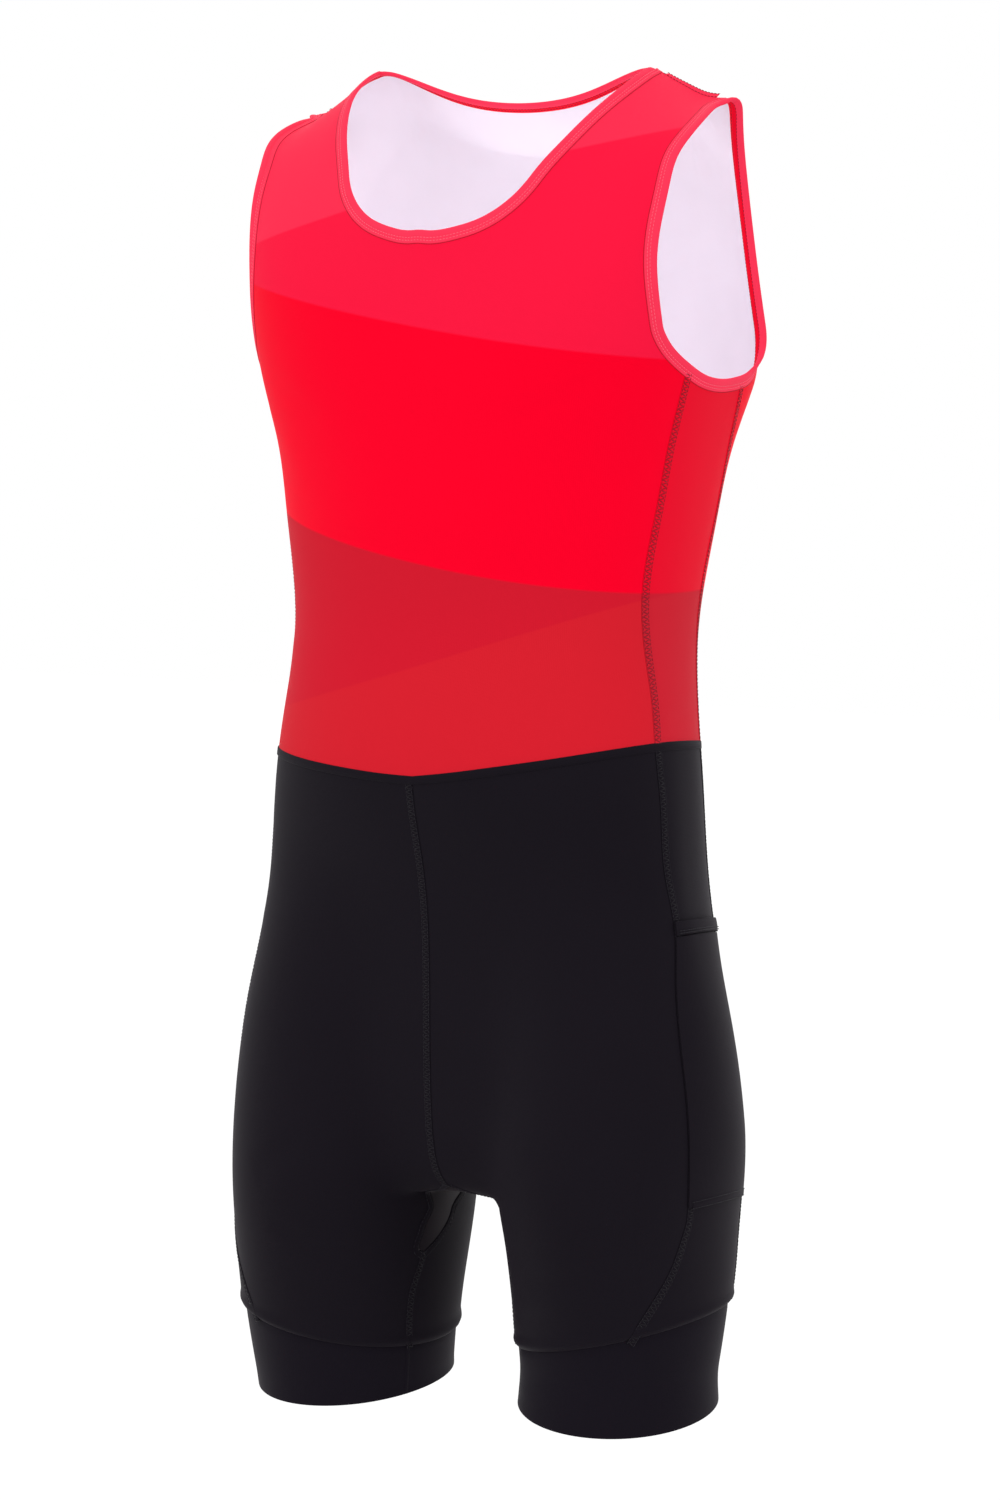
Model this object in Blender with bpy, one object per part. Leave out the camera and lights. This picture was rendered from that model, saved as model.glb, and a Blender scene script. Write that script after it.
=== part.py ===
"""Rowing unisuit without sleeves, standing open as it is worn, on no wearer.

Frame: +X the wearer's left, -Y the front, +Z up. The origin lies on the shoulder
line, midway between the two straps, where the wearer holds the garment.

The cloth follows one smooth form. A place on the form is (angle, level): the angle
is 0 in front, 90 at the wearer's outer side and 180 behind, and the level is the
height in millimetres up to the chest, then the way over the shoulder. Every panel is
a patch between four seams drawn in those coordinates, and its wall is the patch
moved along the form's normals. The right half uses the same seams, mirrored.
"""
import bpy
import numpy as np

MM = 0.001                 # sizes below are in millimetres, meshes in metres

# ---- cloth and trims
CLOTH = 1.2                # wall of knitted cloth
SEAM_GAP = 0.3             # clearance between neighbouring pieces
BINDING_WIDTH = 8.5        # folded binding at neck and armholes
BINDING_OUT = 0.7          # binding's faces, measured from the form
BINDING_IN = -1.9
BINDING_FOLD = 1.2         # how far from its edge the binding starts to round off
CUFF_STEP = 2.0            # the cuff sits this far inside the leg cloth
CUFF_CLOTH = 1.6           # grip band, two layers
POCKET_CLOTH = 1.2
BAND_CLOTH = 1.8           # folded opening edge of the pocket
POCKET_INSET = 0.6         # the pocket's edges stop short of the seams
POCKET_LIFT = 0.45         # clearance under the pocket

# ---- shoulders
CHEST = -170.0             # level above which the columns run over the shoulder
RISE = 200.0               # levels from the chest to the shoulder line
RIDGE_TOP = CHEST + RISE
NECK_X, NECK_Z = 103.0, 9.5      # shoulder line at the neck opening
TIP_X, TIP_Z = 170.0, -20.4      # shoulder line at the armhole
FRONT_SHARE, BACK_SHARE = 0.95, 0.975      # how far out a column ends, against its start
ARMPIT = -208.0            # above it the back narrows behind the armholes
BACK_DRAW, DRAW_RISE = 14.0, 70.0
SHOULDER_DRAW = 9.0        # and the back of the shoulder leans in by this much
NAPE_Y, NAPE_DROP, NAPE_SLOPE = 1.0, 25.0, 0.7
NAPE_BLEND = 7.0           # how widely the nape's dip and the shoulder line merge
SHOULDER_TILT = 0.028      # the left strap is a little lower than the right one,
TIP_LIFT = 1.2             # but the shoulders' tips are nearly level
TIP_FROM, TIP_OVER = 95.0, 70.0            # the width over which that changes
TILT_FROM, TILT_OVER = -240.0, 200.0       # the height over which the tilt sets in

# ---- heights of the trunk and legs
WAIST = -453.0
CROTCH = -757.0
LEG_TOP = -480.0           # above it the legs fade into the trunk
UNDERSIDE_TOP = -690.0     # below it the trunk closes towards the crotch
LEG_AXIS = 106.0           # x of the leg axis at the crotch
WAIST_TILT = 0.05          # the waist seam rises towards the left hip
LEFT_LEG_SLIMMER = 5.5
SLIMMER_FROM, SLIMMER_OVER = -700.0, 90.0
LEG_FADE = 0.7             # how fast a leg's surface withdraws above LEG_TOP
BLEND, BLEND_OVER = 7.0, 120.0             # softness where legs and trunk meet
FORK_BLEND, FORK_FROM, FORK_OVER = 5.0, -715.0, 40.0       # and more of it at the fork
UNDERSIDE_ROUNDING = 1 / 2.2
UNDERSIDE_NARROWS = 0.35   # and the trunk's underside is this much narrower
FAR_AWAY, RAY = 400.0, 260.0


class Table:
    """Rows with named columns; `at` reads a column where the first one has a value."""

    def __init__(self, names, *rows):
        self.names = names.split()
        self.rows = np.array(rows, float)

    def column(self, name):
        return self.rows[:, self.names.index(name)]

    def at(self, place, name):
        return curve(place, self.rows[:, 0], self.column(name))


TRUNK = Table(
    "height half_width front back centre_y power",
    (-150, 180.0, 128, 112, -4, 2.90),
    (-200, 171.0, 126, 112, -8, 2.70),
    (-245, 161.0, 120, 108, -13, 2.45),
    (-300, 152.0, 112, 103, -21, 2.30),
    (-366, 145.5, 101, 100, -29, 2.20),
    (-410, 147.5, 100, 104, -36, 2.20),
    (-453, 152.5, 98, 110, -42, 2.20),
    (-533, 159.0, 71, 120, -51, 2.30),
    (-600, 160.0, 65, 126, -51, 2.40),
    (-670, 157.0, 64, 120, -51, 2.40),
    (-715, 152.0, 60, 104, -52, 2.40),
)
LEG = Table(
    "height centre_x side front back centre_y",
    (-480, 73.0, 68.0, 50, 70, -45),
    (-560, 87.0, 72.0, 62, 78, -49),
    (-630, 99.0, 79.0, 75, 84, -47),
    (-700, 104.0, 83.0, 90, 92, -44),
    (-761, 106.0, 82.0, 97, 97, -42),
    (-800, 107.5, 80.0, 91, 91, -42),
    (-840, 108.0, 77.5, 81, 80, -44),
    (-910, 105.0, 68.5, 74, 74, -44),
)
# Cubic slices over the shoulder: how far each end's handle reaches, from the middle
# of the body (share 0) to the shoulder tip (share 1).
SLICE = Table(
    "share front_rise front_reach back_rise back_reach",
    (0.0, 0.65, 0.90, 0.45, 0.35),
    (0.5, 0.52, 0.32, 0.44, 0.32),
    (1.0, 0.95, 0.45, 0.40, 0.32),
)
# Seams. Angles in degrees.
NECK_SEAM_X = 111.8        # where the neck and armhole seams cross the shoulder line
ARM_SEAM_X = 158.5
NECK_FRONT = Table(
    "row angle level",
    (0, 0.0, -140.3),
    (1, 4.5, -139.1),
    (2, 9.0, -135.8),
    (3, 16.4, -129.0),
    (4, 23.5, -120.6),
    (5, 28.6, -110.4),
    (6, 32.2, -99.4),
    (7, 36.3, -82.0),
    (8, 40.4, -60.0),
    (9, 43.6, -35.0),
)
NECK_BACK = Table(
    "row angle level",
    (0, 180.0, 15),
    (1, 165.0, 15),
    (2, 150.0, 17),
    (3, 140.0, 22),
)
ARMHOLE = Table(
    "row angle level",
    (1, 61.2, -36),
    (2, 58.0, -78),
    (3, 57.0, -116),
    (4, 57.5, -148),
    (5, 61.0, -170),
    (6, 65.6, -187),
    (7, 72.2, -199),
    (8, 78.8, -206),
    (9, 85.0, -208),
    (10, 92.0, -207),
    (11, 99.5, -203),
    (12, 104.2, -195),
    (13, 106.2, -184),
    (14, 106.8, -171),
    (15, 107.0, -154),
    (16, 107.1, -130),
    (17, 107.2, -103),
    (18, 107.2, -75),
    (19, 106.2, -45),
    (20, 104.4, -15),
    (21, 105.7, 12),
)
SIDE_SEAMS = Table(
    "height front_angle back_angle",
    (-188, 71.0, 95.0),
    (-239, 71.0, 99.0),
    (-280, 71.5, 102.0),
    (-336, 71.5, 101.0),
    (-379, 74.5, 103.0),
    (-414, 77.5, 105.0),
    (-446, 78.5, 106.0),
    (-478, 80.0, 109.0),
    (-525, 81.0, 113.0),
    (-561, 82.0, 117.0),
    (-596, 78.0, 120.0),
    (-640, 73.0, 125.0),
    (-686, 70.0, 130.0),
    (-742, 67.5, 134.0),
    (-756, 67.0, 134.5),
    (-769, 64.0, 134.0),
    (-786, 59.0, 133.5),
    (-803, 51.0, 133.0),
    (-817, 44.0, 132.5),
    (-834, 36.0, 132.0),
    (-866, 22.0, 131.0),
)
WAIST_SEAM = Table(
    "angle height",
    (0, -463.0),
    (15, -461.0),
    (30, -458.0),
    (52, -452.5),
    (70, -448.0),
    (80, -447.0),
    (106, -451.0),
    (140, -454.0),
    (180, -455.0),
)
INSEAM = Table(
    "height angle",
    (-797, -72.0),
    (-815, -70.0),
    (-840, -67.5),
    (-872, -69.0),
)
# Edges of the gusset round the fork: the fan angle is 0 straight up from the fork
# axis and grows down the inner thigh.
FORK_Z = -771.0
GUSSET_TIP_Z = -748.0
GUSSET_END = 133.0
GUSSET = Table(
    "fan front_y back_y",
    (0, -88, 36),
    (35, -79, 4),
    (70, -70, -30),
    (90, -67, -44),
    (111, -73, -49),
    (124, -76, -57),
    (130, -76, -65),
    (133, -72, -72),
)
# Cuff seam and hem of each leg: mean height, swing and where the seam is highest.
CUFF_SEAM = {1: (-838.0, 15.5, 110.0), -1: (-857.0, 10.5, 95.0)}
HEM = {1: (-893.0, 8.0, 205.0), -1: (-901.0, 7.5, 195.0)}
POCKET_TOP, POCKET_BAND, POCKET_END = -557.0, 10.0, -746.0
POCKET_SLANT = 8.0         # the pocket is lower at the back edge


# ---------------------------------------------------------------- curves
def curve(place, xs, ys):
    """Natural cubic curve through the points (xs, ys)."""
    if xs[0] > xs[-1]:
        xs, ys = xs[::-1], ys[::-1]
    count = len(xs)
    step = np.diff(xs)
    slope = np.diff(ys) / step
    matrix = np.eye(count)
    right = np.zeros(count)
    for i in range(1, count - 1):
        matrix[i, i - 1:i + 2] = step[i - 1], 2 * (step[i - 1] + step[i]), step[i]
        right[i] = 6 * (slope[i] - slope[i - 1])
    bend = np.linalg.solve(matrix, right)
    place = np.clip(place, xs[0], xs[-1])
    i = np.clip(np.searchsorted(xs, place) - 1, 0, count - 2)
    t = place - xs[i]
    first = slope[i] - step[i] * (2 * bend[i] + bend[i + 1]) / 6
    return ys[i] + t * first + t**2 * bend[i] / 2 + t**3 * (bend[i + 1] - bend[i]) / (6 * step[i])


def ease(t):
    """Smooth step from 0 to 1."""
    t = np.clip(t, 0, 1)
    return t * t * (3 - 2 * t)


# ---------------------------------------------------------------- the form
def torso(angle, height):
    """Superellipse section of the trunk at a height."""
    sin, cos = np.sin(angle), np.cos(angle)
    power = TRUNK.at(height, "power")
    front = cos > 0
    depth = np.where(front, TRUNK.at(height, "front"), TRUNK.at(height, "back"))
    drawn = np.where(front, 0, BACK_DRAW * ease((height - ARMPIT) / DRAW_RISE))
    wide = np.abs(sin) / (TRUNK.at(height, "half_width") - drawn)
    radius = (wide**power + (np.abs(cos) / depth)**power)**(-1 / power)
    y = TRUNK.at(height, "centre_y") - radius * cos
    return np.stack([radius * sin, y, height], -1)


def ridge_z(x):
    """Height of the shoulder line."""
    return NECK_Z + (TIP_Z - NECK_Z) * (np.abs(x) - NECK_X) / (TIP_X - NECK_X)


def back_top(x):
    """Top of the back: the shoulder line and the dip at the nape, run smoothly together."""
    line, dip = ridge_z(x), NECK_Z - NAPE_DROP * (1 - (x / NECK_X)**2)
    soft = NAPE_BLEND * (1 - ease((np.abs(x) - NECK_X) / (NECK_SEAM_X - NECK_X)))
    return (line + dip - np.sqrt((line - dip)**2 + soft**2)) / 2


def over_shoulder(angle, way):
    """Cubic slice from the chest level (way 0) up to the shoulder line (way 1)."""
    start = torso(angle, np.full(angle.shape, CHEST))
    lower = torso(angle, np.full(angle.shape, CHEST - 5))
    rising = (start - lower) / (start - lower)[..., 2:]
    front = np.cos(angle) > 0
    x = start[..., 0] * np.where(front, FRONT_SHARE, BACK_SHARE)
    share = np.abs(x) / TIP_X
    nape = np.clip(1 - (x / NECK_X)**2, 0, 1)
    top_z = np.where(front, ridge_z(x), back_top(x))
    top = np.stack([x, np.where(front, 0, NAPE_Y * nape), top_z], -1)
    rise = np.where(front, SLICE.at(share, "front_rise"), SLICE.at(share, "back_rise"))
    reach = np.where(front, SLICE.at(share, "front_reach"), SLICE.at(share, "back_reach"))
    reach = reach * (start[..., 1] - top[..., 1])
    handle_a = start + rising * ((top_z - start[..., 2]) * rise)[..., None]
    handle_b = top.copy()
    drawn = np.where(front, 0, SHOULDER_DRAW * share**3)
    handle_a[..., 0] -= drawn * np.sign(x)
    handle_b[..., 0] -= drawn * np.sign(x)
    handle_b[..., 2] += drawn * (NECK_Z - TIP_Z) / (TIP_X - NECK_X)
    handle_b[..., 1] += reach
    handle_b[..., 2] -= np.where(front, 0, NAPE_SLOPE * ease(nape) * reach)
    t = way[..., None]
    return ((1 - t)**3 * start + 3 * (1 - t)**2 * t * handle_a
            + 3 * (1 - t) * t**2 * handle_b + t**3 * top)


def radial_gap(dx, dy, level):
    """Distance from a section outline, along the ray from its middle; level is its norm."""
    radius = np.hypot(dx, dy)
    return radius - radius / np.maximum(level, 1e-9)


def trunk_gap(x, y, z):
    low = np.clip((UNDERSIDE_TOP - z) / (UNDERSIDE_TOP - CROTCH), 0, 1)
    close = np.maximum(1 - low**3, 1e-4)**UNDERSIDE_ROUNDING
    dy = y - TRUNK.at(z, "centre_y")
    depth = np.where(dy < 0, TRUNK.at(z, "front"), TRUNK.at(z, "back")) * close
    width = TRUNK.at(z, "half_width") * (1 - UNDERSIDE_NARROWS * low)
    power = TRUNK.at(z, "power")
    norm = ((np.abs(x) / width)**power + (np.abs(dy) / depth)**power)**(1 / power)
    return np.where(z < CROTCH + 0.5, FAR_AWAY, radial_gap(x, dy, norm))


def leg_gap(x, y, z, side):
    slim = LEFT_LEG_SLIMMER * ease((SLIMMER_FROM - z) / SLIMMER_OVER) * (side > 0)
    dx = x - side * LEG.at(z, "centre_x")
    dy = y - LEG.at(z, "centre_y")
    depth = np.where(dy < 0, LEG.at(z, "front"), LEG.at(z, "back")) - slim
    norm = np.hypot(dx / (LEG.at(z, "side") - slim), dy / depth)
    return radial_gap(dx, dy, norm) + LEG_FADE * np.maximum(z - LEG_TOP, 0)


def body_gap(x, y, z):
    """Trunk and both legs, blended: below 0 inside, above 0 outside."""
    gaps = np.stack([trunk_gap(x, y, z), leg_gap(x, y, z, 1), leg_gap(x, y, z, -1)])
    least = gaps.min(0)
    soft = (BLEND * np.clip((WAIST - z) / BLEND_OVER, 0.02, 1)
            + FORK_BLEND * ease((FORK_FROM - z) / FORK_OVER))
    return least - soft * np.log(np.exp(-(gaps - least) / soft).sum(0))


def crossing(place, near, far):
    """Where body_gap changes from inside (near) to outside (far) along place(t)."""
    near, far = np.array(near, float), np.array(far, float)
    for _ in range(34):
        middle = (near + far) / 2
        inside = body_gap(*place(middle)) < 0
        near = np.where(inside, middle, near)
        far = np.where(inside, far, middle)
    return (near + far) / 2


def axis_x(height):
    """The rays start on the body's axis at the waist and on the leg's at the crotch."""
    return LEG_AXIS * ease((WAIST - height) / (WAIST - CROTCH))


def axis_y(height):
    return TRUNK.at(height, "centre_y")


def below_waist(angle, height, side):
    cx, cy = axis_x(height), axis_y(height)
    sin, cos = np.sin(angle), np.cos(angle)
    to_middle = np.where(sin < 0, cx / np.maximum(-sin, 1e-9), RAY)

    def place(t):
        return side * (cx + t * sin), cy - t * cos, height

    distance = crossing(place, np.zeros(height.shape), np.minimum(to_middle, RAY))
    return np.stack([side * (cx + distance * sin), cy - distance * cos, height], -1)


def form(angle, level, side):
    """Points of the body's left (side 1) or right (side -1) half."""
    angle, level = np.broadcast_arrays(np.radians(angle), np.asarray(level, float))
    way = np.clip((level - CHEST) / RISE, 0, 1)
    upper = np.where((level > CHEST)[..., None], over_shoulder(angle, way),
                     torso(angle, np.clip(level, WAIST, CHEST)))
    upper[..., 0] *= side
    outer = ease((np.abs(upper[..., 0]) - TIP_FROM) / TIP_OVER)
    tilt = SHOULDER_TILT * ease((upper[..., 2] - TILT_FROM) / TILT_OVER)
    upper[..., 2] -= tilt * (1 - TIP_LIFT * outer) * upper[..., 0]
    lower = below_waist(angle, np.minimum(level, WAIST), side)
    return np.where((level >= WAIST)[..., None], upper, lower)


def unit(vectors):
    return vectors / np.maximum(np.linalg.norm(vectors, axis=-1, keepdims=True), 1e-9)


def slope(points):
    """Unit slope of body_gap, the outward normal below the waist."""
    shift = np.eye(3) * 0.05
    rise = [body_gap(*np.moveaxis(points + d, -1, 0)) - body_gap(*np.moveaxis(points - d, -1, 0))
            for d in shift]
    return unit(np.stack(rise, -1))


def normals(angle, level, side, points):
    """Outward unit normals: from differences above the waist, the blend's slope below."""
    level = np.asarray(level, float)
    across = form(angle + 0.05, level, side) - form(angle - 0.05, level, side)
    low, high = level - 0.5, np.minimum(level + 0.5, RIDGE_TOP)
    along = form(angle, high, side) - form(angle, low, side)
    upper = unit(np.cross(across, along) * side)
    return np.where((level >= WAIST + 1)[..., None], upper, slope(points))


# ---------------------------------------------------------------- seams
def ridge_angle(x, front):
    """Angle of the column that ends at x on the shoulder line."""
    angles = np.linspace(1, 89, 400) if front else np.linspace(179, 91, 400)
    ends = torso(np.radians(angles), np.full(400, CHEST))[:, 0]
    ends = ends * (FRONT_SHARE if front else BACK_SHARE)
    return float(np.interp(x, ends, angles))


def through(table, first=None, last=None, count=200):
    """Smooth curve through a seam table's (angle, level) rows, with optional ends."""
    rows = np.stack([table.column("angle"), table.column("level")], -1)
    rows = np.concatenate([r for r in (first, rows, last) if r is not None])
    length = np.concatenate([[0], np.cumsum(np.hypot(*np.diff(rows, axis=0).T))])
    place = np.linspace(0, length[-1], count)
    return np.stack([curve(place, length, rows[:, i]) for i in (0, 1)], -1)


def waist_seam(angle, side):
    height = WAIST_SEAM.at(np.abs(angle), "height")
    x = torso(np.radians(np.abs(angle)), np.full(np.shape(angle), WAIST))[..., 0]
    return height + WAIST_TILT * side * x


def swinging(line, side, angle):
    """Height of a cuff line: mean, swing and the angle where it is highest."""
    mean, swing, peak = line[side]
    return mean + swing * np.cos(np.radians(angle - peak))


def cuff_height(angle, side):
    return swinging(CUFF_SEAM, side, angle)


def middle_seam(front, side, top, bottom, count=120):
    """Centre seam of the shorts, where the body meets the plane x = 0."""
    height = np.linspace(top, bottom, count)
    reach = -200.0 if front else 200.0
    cy = axis_y(height)

    def place(t):
        return np.zeros(count), cy + t * reach, height

    y = cy + crossing(place, np.zeros(count), np.ones(count)) * reach
    angle = np.degrees(np.arctan2(-axis_x(height), -(y - cy)))
    return np.stack([angle if front else angle % 360, height], -1)


def fork(fan, y, side):
    """Point of the body seen from the fork axis, at a fan angle."""
    sin, cos = np.sin(np.radians(fan)), np.cos(np.radians(fan))

    def place(t):
        reach = 70.0 * (1 - t)
        return reach * sin * side, y, FORK_Z + reach * cos

    x, y, z = place(crossing(place, np.zeros(fan.shape), np.ones(fan.shape)))
    return np.stack([x, y, z], -1)


def to_form(points, side):
    """(angle, level) of points that lie on the form below the waist."""
    dx = side * points[:, 0] - axis_x(points[:, 2])
    dy = points[:, 1] - axis_y(points[:, 2])
    return np.stack([np.degrees(np.arctan2(dx, -dy)), points[:, 2]], -1)


def gusset_y(front, fan, side):
    """Edge of the gusset; at fan 0 it meets the centre seam exactly."""
    tip = fork_tip(front, side)
    table = GUSSET.column("front_y" if front else "back_y").copy()
    table[0] = tip
    return curve(np.abs(fan), GUSSET.column("fan"), table)


def fork_tip(front, side):
    seam = middle_seam(front, side, WAIST - 30, GUSSET_TIP_Z)
    return form(seam[-1, 0], seam[-1, 1], side)[1]


def resample(seam, count, side):
    """The seam again, as `count` points evenly spaced along the cloth."""
    points = form(seam[:, 0], seam[:, 1], side)
    length = np.concatenate([[0], np.cumsum(np.linalg.norm(np.diff(points, axis=0), axis=1))])
    place = np.linspace(0, length[-1], count)
    return np.stack([np.interp(place, length, seam[:, i]) for i in (0, 1)], -1)


def patch(left, right, bottom, top):
    """Coons patch in (angle, level): blends its four edges."""
    s = np.linspace(0, 1, len(left))[:, None, None]
    w = np.linspace(0, 1, len(bottom))[None, :, None]
    sides = (1 - w) * left[:, None] + w * right[:, None]
    ends = (1 - s) * bottom[None] + s * top[None]
    corners = ((1 - s) * ((1 - w) * left[0] + w * right[0])
               + s * ((1 - w) * left[-1] + w * right[-1]))
    return sides + ends - corners


def line(start, end, count, seam=None, side=1):
    """Edge between two seam ends; seam(angle, side) bends it along a level line."""
    edge = np.linspace(start, end, count)
    if seam is not None:
        level = seam(edge[:, 0], side)
        slack = np.linspace(start[1] - level[0], end[1] - level[-1], count)
        edge[:, 1] = level + slack
    return edge


# ---------------------------------------------------------------- pieces of cloth
SEAM_ROWS, ARM_ROWS = 10, 12                 # along the side seam and the armhole
NECK_ROWS = {True: 12, False: 5}             # along half the neck, in front and behind
CHEST_LINE = -212.0                          # behind, the middle of the row at the armhole
CENTRE_ROWS, INSEAM_ROWS = 11, 5
FANS = np.array([0, 28, 56, 81, 102, 121, GUSSET_END])
GUSSET_REACH = 0.94                          # how far along the last fan the gusset goes
GUSSET_INSET = 0.2                           # wider clearance where the cloth turns under
POCKET_ROWS = (5, 1, 8, 8)                   # above, along the band, the bag, below
BODICE_COLUMNS, SHORTS_COLUMNS, SIDE_COLUMNS, GUSSET_COLUMNS = 7, 8, 4, 4
CUFF_ROWS = 2


def armhole_edge(which):
    """Part of the armhole seam: on the front panel, the side panel or the back panel."""
    seam = through(ARMHOLE, [(ridge_angle(ARM_SEAM_X, True), RIDGE_TOP)],
                   [(ridge_angle(ARM_SEAM_X, False), RIDGE_TOP)], 600)
    cuts, ends = [], []
    for name in ("front_angle", "back_angle"):
        past = seam[:, 0] - SIDE_SEAMS.at(seam[:, 1], name)
        i = np.argmax((seam[:, 1] < -180) & (past > 0))
        share = past[i - 1] / (past[i - 1] - past[i])
        cuts.append(i)
        ends.append(seam[i - 1] * (1 - share) + seam[i] * share)
    parts = {"front": np.concatenate([seam[:cuts[0]], [ends[0]]]),
             "side": np.concatenate([[ends[0]], seam[cuts[0]:cuts[1]], [ends[1]]]),
             "back": np.concatenate([[ends[1]], seam[cuts[1]:]])}
    return parts[which]


def neck_edge(front):
    """Half of the neck seam, from the middle to the shoulder line; its first rows are
    mirrored, so that the two halves run into each other smoothly."""
    table = NECK_FRONT if front else NECK_BACK
    middle = table.rows[0, 1:]
    mirrored = [(2 * middle[0] - angle, level) for _, angle, level in table.rows[3:0:-1]]
    seam = through(table, mirrored, [(ridge_angle(NECK_SEAM_X, front), RIDGE_TOP)])
    beyond = seam[:, 0] > middle[0] if front else seam[:, 0] < middle[0]
    return np.concatenate([[middle], seam[beyond]])


def waist_at(which, side):
    """Where a side seam crosses the waist seam."""
    height = WAIST
    for _ in range(6):
        height = float(waist_seam(SIDE_SEAMS.at(height, which), side))
    return height


def cuff_at(which, side):
    """Where a side seam reaches the cuff."""
    height = CUFF_SEAM[side][0]
    for _ in range(12):
        height = float(cuff_height(SIDE_SEAMS.at(height, which), side))
    return height


def bodice_edge(which, side, top):
    """Side seam of the bodice, from the waist up to the armhole seam's end."""
    height = np.linspace(waist_at(which, side), top[1], SEAM_ROWS + 1)
    edge = np.stack([SIDE_SEAMS.at(height, which), height], -1)
    edge[-1] = top
    return edge


def shorts_edge(which, side):
    """Side seam of the shorts, with rows along the pocket's band and bottom."""
    drop = POCKET_SLANT if which == "back_angle" else 0.0
    marks = [waist_at(which, side), POCKET_TOP - drop, POCKET_TOP - POCKET_BAND - drop,
             POCKET_END - drop, cuff_at(which, side)]
    height = np.interp(np.arange(sum(POCKET_ROWS) + 1), np.cumsum((0, *POCKET_ROWS)), marks)
    return np.stack([SIDE_SEAMS.at(height, which), height], -1)


def middle_rows(front):
    """Rows of a bodice panel that cross its middle line."""
    return SEAM_ROWS + ARM_ROWS - NECK_ROWS[front]


def bodice_half(front, side):
    """Half of the front or back panel, from the middle to the side and armhole."""
    middle_angle = 0.0 if front else 180.0
    which = "front_angle" if front else "back_angle"
    neck = resample(neck_edge(front), NECK_ROWS[front] + 1, side)
    arm = armhole_edge("front")[::-1] if front else armhole_edge("back")
    arm = resample(arm, ARM_ROWS + 1, side)
    marks = [float(waist_seam(middle_angle, side)), CHEST_LINE, neck[0, 1]]
    places = [0, SEAM_ROWS, middle_rows(front)]
    if front:
        marks, places = marks[::2], places[::2]
    height = np.interp(np.arange(places[-1] + 1), places, marks)
    middle = np.stack([np.full(len(height), middle_angle), height], -1)
    inner = np.concatenate([middle, neck[1:]])
    outer = np.concatenate([bodice_edge(which, side, arm[0]), arm[1:]])
    bottom = line(inner[0], outer[0], BODICE_COLUMNS + 1, waist_seam, side)
    top = line(inner[-1], outer[-1], BODICE_COLUMNS + 1)
    return patch(inner, outer, bottom, top)


def bodice_side(side):
    """Side panel, from the waist seam up to the armhole."""
    top = resample(armhole_edge("side"), SIDE_COLUMNS + 1, side)
    left = bodice_edge("front_angle", side, top[0])
    right = bodice_edge("back_angle", side, top[-1])
    bottom = line(left[0], right[0], SIDE_COLUMNS + 1, waist_seam, side)
    return patch(left, right, bottom, top)


def inseam(start, side):
    """From the end of the gusset down to the cuff."""
    bottom = CUFF_SEAM[side][0] - CUFF_SEAM[side][1]
    for _ in range(8):
        bottom = float(cuff_height(INSEAM.at(bottom, "angle"), side))
    height = np.linspace(start[1], bottom, INSEAM_ROWS + 1)
    angle = INSEAM.at(height, "angle")
    angle += (start[0] - angle[0]) * (1 - ease((start[1] - height) / 30))
    return np.stack([angle, height], -1)


def shorts_panel(front, side):
    """Front or back panel of one leg: centre seam, gusset edge and inseam, to the side."""
    turn = 0.0 if front else 360.0
    top = float(waist_seam(0.0 if front else 180.0, side))
    middle = resample(middle_seam(front, side, top, GUSSET_TIP_Z), CENTRE_ROWS + 1, side)
    edge = to_form(fork(FANS, gusset_y(front, FANS, side), side), side)
    leg = inseam(edge[-1], side)
    lower = np.concatenate([edge[1:], leg[1:]])
    lower[:, 0] += np.where(lower[:, 0] < 0, turn, 0)
    inner = np.concatenate([middle, lower])
    outer = shorts_edge("front_angle" if front else "back_angle", side)
    upper = line(inner[0], outer[0], SHORTS_COLUMNS + 1, waist_seam, side)
    bottom = line(inner[-1], outer[-1], SHORTS_COLUMNS + 1, cuff_height, side)
    return patch(inner, outer, upper, bottom)


def shorts_side(side):
    """Side panel of one leg, from the waist seam down to the cuff."""
    left, right = shorts_edge("front_angle", side), shorts_edge("back_angle", side)
    upper = line(left[0], right[0], SIDE_COLUMNS + 1, waist_seam, side)
    bottom = line(left[-1], right[-1], SIDE_COLUMNS + 1, cuff_height, side)
    return patch(left, right, upper, bottom)


# ---------------------------------------------------------------- walls and meshes
def on_form(domain, side):
    angle, level = domain[..., 0], domain[..., 1]
    points = form(angle, level, side)
    return points, normals(angle, level, side, points)


def pull_in(points, gap, joined=0):
    """Draw a patch back from its seams; `joined` rows of the first column stay put."""
    points = points.copy()
    for axis in (0, 1):
        grid = np.moveaxis(points, axis, 0)
        for edge, inner in ((0, 1), (-1, -2)):
            along = unit(np.gradient(grid[edge], axis=0))
            step = grid[inner] - grid[edge]
            step = unit(step - (step * along).sum(-1, keepdims=True) * along)
            if joined and (axis, edge) == (1, 0):
                step[:joined] = 0
                step[joined] = unit(grid[0, joined - 1] - grid[0, joined])
            grid[edge] += step * gap
    return points


DIAGONAL_RULE = np.array([0.25, 0.6, 0.9])


def quads_of(grid):
    """Faces between the neighbouring rows and columns of an index grid."""
    corners = grid[:-1, :-1], grid[:-1, 1:], grid[1:, 1:], grid[1:, :-1]
    return np.stack(corners, -1).reshape(-1, 4)


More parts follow.
